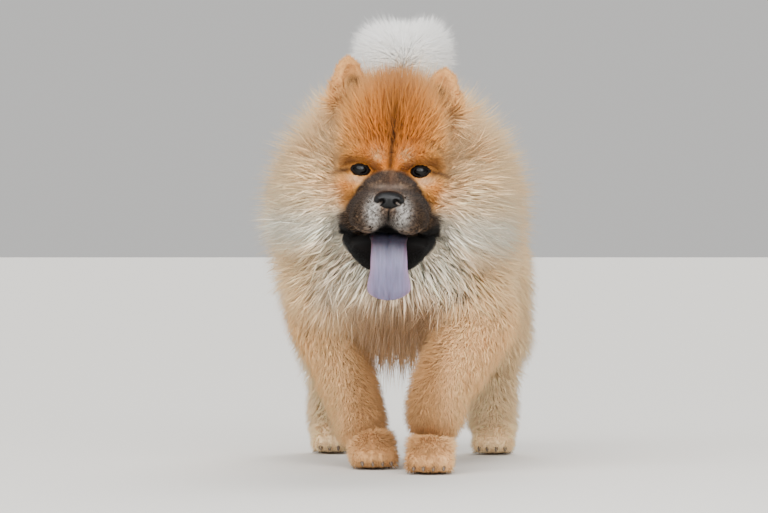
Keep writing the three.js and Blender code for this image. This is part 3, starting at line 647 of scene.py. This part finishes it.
def survey(p, n):
    """For points of the skin with normals n: the coat's depth, its lie, how far it stands up and how far it
    lies along, as shares of the depth, a place on the bake map, and how many more hairs it needs because they
    fan out."""
    depth, lie, bake, fan = coat_of_limbs(p)
    facing = np.clip(-n[:, 1], 0, 1) * smoothstep(p[:, 1], -200, -250)
    stand = (1 - .6 * facing) * (1 - .25 * smoothstep(p[:, 1], 150, 220))
    # ruff, neck and crown fill one round outline, so their depth is what is left up to it
    across = (p[:, 0] - 5) / RUFF[0]
    up = (p[:, 2] - 330) / np.where(p[:, 2] > 330, RUFF[1], RUFF[2])
    out = np.hypot(across, up)
    left = RUFF[0] * (1 - out) * (1 - .5 * facing * smoothstep(out, .8, .35))
    in_ruff = smoothstep(p[:, 1], -110, -170) * smoothstep(p[:, 2], 180, 225)
    depth = depth * (1 - in_ruff) + np.clip(left, 25, 105) * in_ruff
    fan = fan * (1 - in_ruff) + (1 + depth / 80) * in_ruff
    radial = unit(np.stack([across, 0 * across + .25, up], -1))
    lie = unit(lie + radial * in_ruff[:, None])
    # the face
    h = off_head(p)
    on_face, face_depth, face_lie, face_bake = coat_of_face(p, h)
    depth = depth * (1 - on_face) + face_depth * on_face
    lie = lie * (1 - on_face)[:, None] + face_lie * on_face[:, None]
    face_stand = .6 + .3 * smoothstep(h[:, 2], 385, 440) + .15 * smoothstep(np.abs(h[:, 0]), 50, 80)
    stand = stand * (1 - on_face) + face_stand * on_face
    bake = np.where(on_face[:, None] > .5, face_bake, bake)
    # the ears
    for s in (-1, 1):
        q = off_ear(p, s)
        near = (ear_flap.locate(q)[2] < 1.25) & (q[:, 2] > -10)
        depth = np.where(near, 12 - 7 * smoothstep(q[:, 2], 0, 22), depth)
        stand = np.where(near, .7, stand)
        lie = np.where(near[:, None], (np.array([0, .1, 1.0]) @ ear_turn(s).T) @ HEAD_TURN.T, lie)
    # the paws
    paw = smoothstep(p[:, 2], 56, 26)
    depth = depth * (1 - paw) + (6.5 + 7 * smoothstep(p[:, 2], 22, 44)) * paw
    depth = np.where(p[:, 2] < 5, 2.5, depth)
    lie = lie * (1 - paw)[:, None] + np.array([0, -1, -.7]) * paw[:, None]
    lie = lie - n * (lie * n).sum(1, keepdims=True)
    sweep = 1.45 - .8 * stand + .5 * smoothstep(p[:, 2], 260, 200) - .3 * facing * (1 - on_face)
    return depth, unit(lie), stand, sweep, bake, fan * (1 + .6 * on_face)


# %% [markdown]
# A tuft is a few dozen hairs that hold together: a thin, flat spike that rises from the skin, bends over along the
# lie and ends in a point. Particle hair would be lost when the model is exported, so each tuft is a real, closed
# little mesh of four or ten triangles. Tufts near one another lean to a common tip, which is what breaks a coat up
# into locks.

# %% Tufts
SECTION = np.array([[-.5, -.12], [.5, -.12], [0, .26]])
BENT = ([0, .5], [.85, .8])         # where the rings of a tuft sit, and their widths
STRAIGHT = ([0], [1])
BAKE_PATCH = .003                   # how much of the bake map a tuft takes
# a tuft's colour is scaled by these: painted shade at its root, deep in the coat, and painted light at its tip
ROOT_PAINTED_SHADE, TIP_PAINTED_LIGHT = .94, 1.06


def tuft_triangles(rings):
    """Triangles of one tuft: its sides, its point and its foot."""
    tris = []
    for r in range(rings - 1):
        for s in range(3):
            a, b = r * 3 + s, r * 3 + (s + 1) % 3
            tris += [(a, b, a + 3), (b, b + 3, a + 3)]
    top = 3 * (rings - 1)
    return np.array(tris + [(top + s, top + (s + 1) % 3, top + 3) for s in range(3)] + [(0, 2, 1)], np.int32)


def grow(kind, root, normal, lie, height, reach, width, tone, bake, rng):
    """Arrays of a coat: points, triangles, colours and bake places. Height is how far the tip stands
    off the skin, reach how far it lies along it."""
    n = len(root)
    steps, widths = map(np.array, kind)
    tip = root + normal * height[:, None] + lie * reach[:, None]
    knee = root + normal * (height * .66)[:, None] + lie * (reach * .2)[:, None]
    knee += rng.normal(0, .05, (n, 3)) * (height + reach)[:, None]
    base = root - normal * 1.2
    s = steps[:, None, None]
    centre = (1 - s) ** 2 * base + 2 * s * (1 - s) * knee + s ** 2 * tip
    tangent = unit((1 - s) * (knee - base) + s * (tip - knee))
    twist = rng.normal(0, .6, (n, 1))
    across = unit(np.cross(tangent, normal + lie * .3))
    flat = np.cross(across, tangent)
    across, flat = across * np.cos(twist) + flat * np.sin(twist), flat * np.cos(twist) - across * np.sin(twist)
    size = (width * widths[:, None])[..., None]
    rings = np.stack([centre + (across * x + flat * y) * size for x, y in SECTION], 1)   # step, corner, tuft
    k = 3 * len(steps)
    points = np.concatenate([rings.reshape(k, n, 3), tip[None]]).transpose(1, 0, 2).reshape(-1, 3)
    points[:, 2] = np.maximum(points[:, 2], .3)
    tris = (tuft_triangles(len(steps))[None] + (k + 1) * np.arange(n)[:, None, None]).reshape(-1, 3)
    along = np.append(np.repeat(steps, 3), 1)[None, :, None]
    colours = tone[0][:, None] * (1 - along) + tone[1][:, None] * along
    # painted shade at the root and painted light at the tip, blended along the tuft
    colours = (colours * (ROOT_PAINTED_SHADE + (TIP_PAINTED_LIGHT - ROOT_PAINTED_SHADE) * along)).reshape(-1, 3)
    spread = np.array([[c % 3 / 3, c // 3 / 3] for c in range(k + 1)]) * BAKE_PATCH
    return points, tris, colours, (bake[:, None] + spread[None]).reshape(-1, 2)


print("triangles in a straight and a bent tuft:", [len(tuft_triangles(len(k[0]))) for k in (STRAIGHT, BENT)])


# %% Roots and clumps
def scatter(weights, count, rng):
    """Roots strewn over the skin, more where the weight is higher."""
    chance = skin_areas * weights
    face = rng.choice(len(chance), count, p=chance / chance.sum())
    a, b = rng.random(count), rng.random(count)
    over = a + b > 1
    a[over], b[over] = 1 - a[over], 1 - b[over]
    bary = np.stack([1 - a - b, a, b], -1)[..., None]
    return ((skin_points[skin_tris[face]] * bary).sum(1), unit((skin_normals[skin_tris[face]] * bary).sum(1)))


def clump(values, root, cell, rng):
    """The mean of the values within each small cell of the skin, given back to each root in it."""
    key = np.floor((root + rng.random(3) * cell) / cell).astype(np.int64)
    _, group = np.unique(key[:, 0] * 4000003 + key[:, 1] * 2003 + key[:, 2], return_inverse=True)
    total = np.zeros((group.max() + 1, values.shape[1]))
    np.add.at(total, group, values)
    return (total / np.bincount(group)[:, None])[group], group


# %% Where the coat grows
def on_cheeks_and_bib(h):
    """1 on the fur round the jaw, which is looked at most, in the head's frame."""
    return smoothstep(h[:, 1], -205, -260) * smoothstep(h[:, 2], 190, 215) * smoothstep(h[:, 2], 350, 320)


def over_eye(p, halves, reach):
    """True in front of either eye, within an almond of the half sizes given."""
    over = np.zeros(len(p), bool)
    for s in (-1, 1):
        u, v, w = eye_frame(p, s).T
        over |= (np.sqrt((u / halves[0]) ** 2 + (v / halves[1]) ** 2) < 1) & (w < reach)
    return over


face_middle = skin_points[skin_tris].mean(1)
face_normal = skin_normals[skin_tris[:, 0]]
fh = off_head(face_middle)
on_nose = np.linalg.norm((fh - NOSE_AT) / [19, 15, 12.5], axis=1) < 1
in_mouth = (fh[:, 2] < 299) & (fh[:, 2] > 262) & (fh[:, 1] < -300) & (np.abs(fh[:, 0]) < 46)
in_mouth &= np.abs(face_normal[:, 2]) > .55
bald = over_eye(face_middle, (10.4, 6.6), 14) | on_nose | in_mouth | (face_middle[:, 2] < 2)
depth_there, _, _, _, _, spread_there = survey(face_middle, face_normal)
spread_there = spread_there * (1 + .9 * on_cheeks_and_bib(fh))
print("skin without hair, cm2:", round(skin_areas[bald].sum() / 100))


# %% How a tip is placed
def first_tips(root, normal, surveyed, tips, rng):
    """Tips that follow the lie, each a little astray."""
    depth, lie, stand, sweep = surveyed
    n = len(root)
    height = depth * stand * (tips[0] + (tips[1] - tips[0]) * rng.random(n) ** .7)
    reach = depth * sweep * (.45 + .65 * rng.random(n))
    stray = rng.normal(0, 1, (n, 3))
    stray -= normal * (stray * normal).sum(1, keepdims=True)
    return root + normal * height[:, None] + (unit(lie + stray * .24)) * reach[:, None]


def hidden_part(root, tip, depth):
    """1 for a long hair that would hang over the short fur of the muzzle or over an eye."""
    hides = np.zeros(len(root))
    for share in (.6, 1):
        at = root + (tip - root) * share
        far = off_head(at)
        hides = np.maximum(hides, open_face(far, -2) * (far[:, 1] < -255) * (depth > 8))
        hides = np.maximum(hides, over_eye(at, (12, 7.5), 30))
    return hides


# %% The coats
# kind, how many, coat depths it serves, share of the depth its tips reach, width at no depth and per mm of
# depth, pull towards the clump, size of a clump, seed
COATS = {
    "plush": (STRAIGHT, 80000, (0, 16), (.6, 1.15), (.9, .03), (0, .3), 6, 3),
    "wool": (BENT, 34000, (9, 200), (.5, .92), (1.5, .018), (0, .12), 11, 5),
    "guard": (BENT, 18000, (9, 200), (.75, 1.05), (.9, .004), (0, .25), 14, 7),
    "wisps": (STRAIGHT, 155000, (9, 200), (.5, 1.08), (.8, .004), (0, .12), 16, 9),
}
SHORTENED = .72             # how much of a hair is cut that would hide eye or muzzle
PIECE_TRIANGLES = 190000    # a piece of coat is kept below 200,000 triangles
coat_pieces = []
for name, (kind, count, depths, tips, widths, pulls, cell, seed) in COATS.items():
    count = count
    rng = np.random.default_rng(seed)
    inside = smoothstep(depth_there, depths[0] - 3, depths[0] + 3)
    inside *= smoothstep(depth_there, depths[1] + 3, depths[1] - 3)
    root, normal = scatter(np.where(bald, 0, inside * spread_there), count, rng)
    depth, lie, stand, sweep, bake, _ = survey(root, normal)
    tip = first_tips(root, normal, (depth, lie, stand, sweep), tips, rng)
    middle, group = clump(tip, root, cell, rng)
    pull = pulls[0] + (pulls[1] - pulls[0]) * rng.random(count)
    tip = tip + (middle - tip) * pull[:, None]
    hides = hidden_part(root, tip, depth)
    tip = root + (tip - root) * (1 - SHORTENED * hides)[:, None]
    rise = ((tip - root) * normal).sum(1)
    height = np.maximum(rise, depth * .2 * (1 - hides) + 1)
    flat_part = (tip - root) - normal * rise[:, None]
    reach = np.linalg.norm(flat_part, axis=1)
    width = (widths[0] + widths[1] * depth) * (.75 + .5 * rng.random(count))
    if name == "wool":
        width *= 1 + .4 * on_cheeks_and_bib(off_head(root))
    tone_of_clump = rng.normal(0, 1, group.max() + 1)[group]
    shade = 1 + .03 * tone_of_clump + (.11 if name == "plush" else .06) * rng.normal(0, 1, count)
    tone = [markings(at) * shade[:, None] for at in (root, root + (tip - root) * .75)]
    order = np.argsort(root[:, 1], kind="stable")
    piece = PIECE_TRIANGLES // len(tuft_triangles(len(kind[0])))
    for k, start in enumerate(range(0, count, piece)):
        pick = order[start:start + piece]
        made = grow(kind, root[pick], normal[pick], unit(flat_part[pick]), height[pick], reach[pick],
                    width[pick], [np.clip(c[pick], 0, 1) for c in tone], bake[pick], rng)
        coat_pieces.append(make_object(f"coat_{name}_{k + 1}", *made))
    print(name, "coat:", count, "tufts")
print("coat:", len(coat_pieces), "pieces,", sum(len(o.data.polygons) for o in coat_pieces), "triangles")

# %% [markdown]
# The skin itself is made last, now that the coat has asked it everything. It shows only between hairs, in the
# mouth and on the soles. Its markings are painted a little darker than the hair's, as shade deep under the coat.

# %% Skin object
# painted shade: the skin's markings are darkened by this share
SKIN_PAINTED_SHADE = .85            # skin is a little darker than its hair
skin = make_object("skin", skin_points, skin_tris, markings(skin_points) * SKIN_PAINTED_SHADE)
print("skin object:", len(skin.data.polygons), "triangles")

# %% [markdown]
# Eyes of a chow are small, dark and deep-set, almond-shaped, with black rims. Each is a dark brown ball with a
# wet clear finish, and a ring of lid skin that lies on the ball and goes under the fur.

# %% Eyes and lids
SIDE_NAME = {1: "left", -1: "right"}


def eyeball(side):
    p, t = lump_mesh([0, 0, 0], [EYE_RADIUS] * 3, rows=30, sides=40)
    return make_object(f"eyeball_{SIDE_NAME[side]}", on_head(p + EYE_AT[side]), t)


def eye_lids(side):
    """A closed ring of skin round the open almond. Its rows go outwards from the rim: how many times the almond's
    size, how far over the ball, and how far back."""
    phi = 2 * np.pi * np.arange(64) / 64
    scales, overs, backs = [.94, .99, 1.04, 1.1, 1.3, 2.0], [.05, .4, .7, .6, .0, -.6], [1.5, 0, 0, 0, 0, 5]
    rows = []
    for scale, over, back in zip(scales, overs, backs):
        u = ALMOND[0] * scale * np.cos(phi)
        u += 1.6 * side * np.clip(side * np.cos(phi), 0, 1) ** 5
        v = ALMOND[1] * scale * np.sin(phi) * (1 - .22 * np.clip(side * np.cos(phi), 0, 1) ** 2 * (scale < 1.3))
        c, s = np.cos(EYE_TILT * side), np.sin(EYE_TILT * side)
        w = lid_depth(u, v, over) + back
        rows.append(np.stack([u * c - v * s, w, v * c + u * s], -1) + EYE_AT[side])
    rows = np.array(rows)
    back = rows[::-1] + [0, 1.2, 0]
    ring = np.vstack([rows, back])
    n = len(ring)
    tris = []
    for r in range(n):
        for k in range(64):
            a, b = r * 64 + k, r * 64 + (k + 1) % 64
            c, d = (r + 1) % n * 64 + k, (r + 1) % n * 64 + (k + 1) % 64
            tris += [(a, b, c), (b, d, c)]
    return make_object(f"lids_{SIDE_NAME[side]}", on_head(ring.reshape(-1, 3)), tris)


eyes = {s: eyeball(s) for s in (-1, 1)}
lids = [eye_lids(s) for s in (-1, 1)]
print("eye opening, mm:", 2 * ALMOND[0], "x", 2 * ALMOND[1])

# %% [markdown]
# The nose leather is a broad, black, pebbled pad with comma-shaped nostrils and a groove down the middle. A ball
# is pressed into that shape point by point.

# %% Nose
NOSE_HALF = np.array([18.5, 12.5, 11.5])
p, t = lump_mesh([0, 0, 0], [1, 1, 1], rows=60, sides=90)
shape = p * NOSE_HALF
flatter = -np.abs(shape[:, 1] / NOSE_HALF[1]) ** .75 * NOSE_HALF[1]
shape[:, 1] = np.where(shape[:, 1] < 0, flatter, shape[:, 1])
shape[:, 0] = np.sign(shape[:, 0]) * np.abs(shape[:, 0] / NOSE_HALF[0]) ** .88 * NOSE_HALF[0]
shape[:, 0] *= 1 - .4 * smoothstep(-p[:, 2], .05, 1)
front = (p[:, 1] < 0) * 1.0
for side in (-1, 1):
    out = shape[:, 0] * side
    hole = np.hypot((out - 9.2) / 4.6, (shape[:, 2] + 2.2 + (out - 9.2) * .25) / 3.6)
    slit = np.hypot((out - 14.2) / 4.2, (shape[:, 2] + 5.2) / 1.6)
    shape[:, 1] += front * (8 * smoothstep(hole, 1.2, .3) + 4 * smoothstep(slit, 1.3, .3))
    wing = np.hypot((out - 13.5) / 5, (shape[:, 2] - 2.6) / 4)
    shape[:, 1] -= front * 1.6 * smoothstep(wing, 1.3, 0)
shape[:, 1] += 1.8 * np.exp(-(shape[:, 0] / 1.1) ** 2) * front * smoothstep(-p[:, 2], -.2, .2)
nose = make_object("nose_leather", on_head(shape + NOSE_AT), t)
print("nose leather, mm:", np.ptp(shape, axis=0).round(1))

# %% [markdown]
# The tongue hangs out over the lower lip, blue-black to lavender, thin at the edges with a groove down its middle.
# Where it leaves the mouth it is painted near black as shadow, and the groove is painted darker as shade.

# %% Tongue
TONGUE = [([-1, -318, 290], [20, 4, 4], [0, 0, 0]), ([0, -360, 286], [23, 4, 4], [0, 0, 0]),
          ([1, -391, 277], [21, 4, 4], [0, 0, 0]), ([2, -399, 252], [22, 4, 4], [0, 0, 0]),
          ([3, -397, 226], [26, 4, 4], [0, 0, 0]), ([4, -393, 211], [22, 3.5, 3.5], [0, 0, 0])]
ROUNDING["tongue"] = (.08, .16)
tongue_limb = Limb("tongue", TONGUE)
rows, sides = 90, 64
t = np.linspace(.004, .996, rows)
tt, aa = np.meshgrid(t, 2 * np.pi * np.arange(sides) / sides, indexing="ij")
tt, aa = tt.ravel(), aa.ravel()
p = tongue_limb.point(tt, aa)
under = tongue_limb.frame(tt)[2]
groove = np.exp(-(np.cos(aa) / .12) ** 2) * (np.sin(aa) < 0) * 1.8
p = p + under * groove[:, None]
p += under * (.8 * np.sin(aa * 9 + tt * 8) * np.exp(-((np.abs(np.cos(aa)) - .8) / .3) ** 2))[:, None] * .3
p = np.vstack([p, tongue_limb.path(np.array([0.0, 1.0]))])
# painted shadow: the tongue darkens to near black towards its top, where it leaves the mouth
painted_mouth_shadow = smoothstep(p[:, 2], 255, 281)
edge = np.append(np.abs(np.cos(aa)) ** 6, [0, 0])
tint = mix(np.tile(linear("#66647F"), (len(p), 1)), linear("#8A6F8A"), edge * .8)
# painted shade: the middle line of the tongue, where the groove runs, is darker
tint = mix(tint, linear("#5B5870"), np.append(np.exp(-(np.cos(aa) / .07) ** 2), [0, 0]) * .5)
tint = mix(tint, linear("#15121A"), painted_mouth_shadow * .9)
tongue = make_object("tongue_body", on_head(p), tube(rows, sides, (rows * sides, rows * sides + 1)), tint)
print("tongue, mm:", np.ptp(p, axis=0).round(1))

# %% [markdown]
# Claws are short, blunt and mostly hidden by the toe hair.

# %% Claws
claw_points, claw_tris = [], []
for name, (at, angle, size) in PAWS.items():
    for i in range(TOES):
        spread = (i - (TOES - 1) / 2) / TOES
        base = np.array([spread * 48 * size, (-24 + abs(spread) * 22) * size - 6, 10.0])
        claw = Limb("claw", [(base, [3.2, 3.6, 3.2], [0, 0, 0]), (base + [0, -6, -1], [2.6, 3, 2.6], [0, 0, 0]),
                             (base + [0, -10, -5], [1.2, 1.4, 1.2], [0, 0, 0])])
        p, t = limb_mesh(claw, 8, 10)
        claw_tris.append(np.array(t) + sum(map(len, claw_points)))
        claw_points.append(p @ turn("z", angle).T + [*at, 0])
claws = make_object("claws", np.vstack(claw_points), np.vstack(claw_tris))
print("claws:", len(claw_tris))

# %% [markdown]
# Materials are built from nodes. Fur is keratin: matt in the mass, with a faint sheen at grazing light. Its colour
# comes from the markings, broken up along the hair by a fine noise. Real hairs are a twentieth of a millimetre
# thick, so the noise is drawn 2.5 mm wide to show at all.

# %% Helpers for finishes
def node(tree, kind, settings=None, **links):
    """Adds a node. Settings that name a socket set it, others set the node; links name sockets to feed."""
    made = tree.nodes.new(kind)
    for key, value in (settings or {}).items():
        if key in made.inputs:
            made.inputs[key].default_value = value
        else:
            setattr(made, key, value)
    for socket, source in links.items():
        tree.links.new(source, made.inputs[socket.replace("_", " ")])
    return made


def rgba(colour):
    return (*map(float, colour), 1)


def mm(scale):
    """A noise scale that gives features about this many millimetres wide."""
    return 1000 / scale


def material(name, roughness, **sockets):
    made = bpy.data.materials.new(name)
    made.use_nodes = True
    shader = made.node_tree.nodes["Principled BSDF"]
    shader.inputs["Roughness"].default_value = roughness
    for key, value in sockets.items():
        shader.inputs[key.replace("_", " ")].default_value = value
    return made, made.node_tree, shader


def object_place(tree):
    """The place on the object, in metres, for patterns that stay where they are."""
    return node(tree, "ShaderNodeTexCoord").outputs["Object"]


def paint_markings(tree, shader, noise, low, high):
    """The markings as the base colour, varied by a noise between two factors."""
    paint = node(tree, "ShaderNodeAttribute", {"attribute_name": "Markings"})
    level = node(tree, "ShaderNodeMapRange", {"To Min": low, "To Max": high}, Value=noise.outputs["Fac"])
    tinted = node(tree, "ShaderNodeMix", {"data_type": "RGBA", "blend_type": "MULTIPLY", "Factor": 1})
    tree.links.new(paint.outputs["Color"], tinted.inputs[6])
    tree.links.new(level.outputs["Result"], tinted.inputs[7])
    tree.links.new(tinted.outputs[2], shader.inputs["Base Color"])


def relief(tree, shader, height, strength, distance):
    """A pattern's light and shade as small hills, so many metres high."""
    bump = node(tree, "ShaderNodeBump", {"Strength": strength, "Distance": distance}, Height=height)
    tree.links.new(bump.outputs["Normal"], shader.inputs["Normal"])


# %% Fur and hide
def fur_material(name, roughness, contrast):
    made, tree, shader = material(name, roughness, Sheen_Weight=.04, Sheen_Roughness=.5, Specular_IOR_Level=.05)
    strands = node(tree, "ShaderNodeTexNoise", {"Scale": mm(2.5), "Detail": 3}, Vector=object_place(tree))
    paint_markings(tree, shader, strands, 1 - contrast, 1 + contrast)
    return made


coat_fur = fur_material("long guard hair over wool", .85, .1)
for piece in coat_pieces:
    piece.data.materials.append(coat_fur)
skin.data.materials.append(fur_material("hide under the fur", .8, .2))
print("fur laid on", len(coat_pieces), "pieces")

# %% [markdown]
# The eye is a nearly black iris under a wet, clear cornea, so it is all gloss: one small bright mirror image of the
# window says that it is alive. Tears have an IOR of 1.34; 1.3 keeps the grey of the studio out of it. The rims are
# bare black skin, matt beside it. Nose leather is thick bare skin, moist, with pebbles about 1.6 mm across.

# %% Eyes, lids and nose leather
eye_wet = material("wet dark brown eye", .04, Base_Color=rgba(linear("#060403")), IOR=1.3)[0]
for piece in eyes.values():
    piece.data.materials.append(eye_wet)
rim_skin = material("black lid skin", .6, Base_Color=rgba(linear("#0E0B0A")), Specular_IOR_Level=.2)[0]
for piece in lids:
    piece.data.materials.append(rim_skin)
leather, tree, shader = material("pebbled nose leather", .38, Base_Color=rgba(linear("#09090B")),
                                 Specular_IOR_Level=.3)
pebbles = node(tree, "ShaderNodeTexVoronoi", {"Scale": mm(1.6)}, Vector=object_place(tree))
relief(tree, shader, pebbles.outputs["Distance"], .5, .0004)
nose.data.materials.append(leather)
print("pebbles to a metre:", pebbles.inputs["Scale"].default_value)

# %% [markdown]
# A chow's tongue is blue-black to lavender flesh. Light sinks in a little, and its grain runs lengthwise, so the
# noise is stretched along z. Claws are horn, which is dark and satin.

# %% Tongue and claws
flesh, tree, shader = material("moist grained tongue", .45, Subsurface_Weight=.1, Specular_IOR_Level=.35)
lengthwise = node(tree, "ShaderNodeMapping", {"Scale": (1, .3, .09)}, Vector=object_place(tree))
grain = node(tree, "ShaderNodeTexNoise", {"Scale": mm(2.6), "Detail": 4}, Vector=lengthwise.outputs["Vector"])
paint_markings(tree, shader, grain, .5, 1.5)
relief(tree, shader, grain.outputs["Fac"], .5, .0008)
tongue.data.materials.append(flesh)
horn = material("dark claw horn", .4, Base_Color=rgba(linear("#5E4E40")))[0]
claws.data.materials.append(horn)
print("materials:", len(bpy.data.materials))

# %% [markdown]
# The skin takes the place of all the flesh nodes, so that no seam shows; eyes, nose and tongue each take the
# place of their own. Everything rides on the one root body.

# %% What rides on the frame and what it stands for
FLESH = ["head", "jaw", "ear_left", "ear_right", "mane", "torso_front", "torso_rear", "tail"] + [
    f"{part}_{s}" for part in ("foreleg", "forepaw", "thigh", "hock", "hindpaw") for s in ("left", "right")]
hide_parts(*FLESH)
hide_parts("eye_left")
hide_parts("eye_right")
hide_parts("nose")
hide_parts("tongue")
SLOTS = {"coat_tan": [skin, *coat_pieces], "eye_brown": list(eyes.values()), "mask_dark": lids,
         "nose_leather": [nose], "tongue_skin": [tongue], "claw_horn": [claws]}
for slot, pieces in SLOTS.items():
    for piece in pieces:
        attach(piece, "root")
print("pieces:", sum(map(len, SLOTS.values())))

# %% [markdown]
# The studio: a plain pale floor and broad, soft lights. The key is above and in front, to the dog's right, a fill
# is low in front, and a light from behind lifts the edge of the coat, as the low sky does in the field. They are
# far away, like a sun, so that dog and floor are lit evenly. A small window gives the eyes their catchlight.

# %% Floor and lights
bpy.ops.mesh.primitive_plane_add(size=80, location=(0, 0, 0))
floor = bpy.context.object
floor.name = "floor"
floor.data.materials.append(material("matt studio floor", .9, Base_Color=rgba(linear("#D9D6D0")))[0])

world = bpy.data.worlds.new("studio")
bpy.context.scene.world = world
world.use_nodes = True
sky = world.node_tree.nodes["Background"].inputs
sky["Color"].default_value, sky["Strength"].default_value = rgba(linear("#CFCECC")), 1.05


def add_light(name, kind, energy, shines):
    """A light that shines in the direction given."""
    obj = bpy.data.objects.new(name, bpy.data.lights.new(name, kind))
    obj.data.energy = energy
    obj.rotation_mode = "QUATERNION"
    obj.rotation_quaternion = Vector(shines).to_track_quat("-Z", "Y")
    bpy.context.scene.collection.objects.link(obj)
    return obj


# where each stands, how wide it looks in degrees, and its strength
for name, at, spread, strength in (("key", (-1.1, -2.3, 1.9), 60, 3.3), ("fill", (.15, -2.6, .3), 50, 1.5),
                                   ("back", (.5, 2.4, 2.4), 40, 2.8)):
    add_light(name, "SUN", strength, -Vector(at)).data.angle = np.radians(spread)
window = add_light("window", "AREA", 50, (-.9, 2.3, -1.15))
window.data.size, window.location = 1.5, (.9, -2.6, 1.5)
print("lights:", len(bpy.data.lights))

# %% [markdown]
# The photo was taken with a long lens from low down, at the height of the dog's face, which flattens the body
# behind the head. The camera stands about 5 m from the nose and looks down by a third of a degree.

# %% Camera
CAMERA_AT = np.array([-10.0, -5470, 295])
camera = bpy.data.objects.new("camera", bpy.data.cameras.new("camera"))
camera.data.lens, camera.data.sensor_width = 200, 36
camera.location = to_scene(CAMERA_AT)
camera.rotation_euler = (np.radians(90 - .36), 0, 0)
bpy.context.scene.collection.objects.link(camera)
bpy.context.scene.camera = camera
print("camera, m from the nose:", round(float(np.linalg.norm(CAMERA_AT - NOSE_AT)) / 1000, 2))
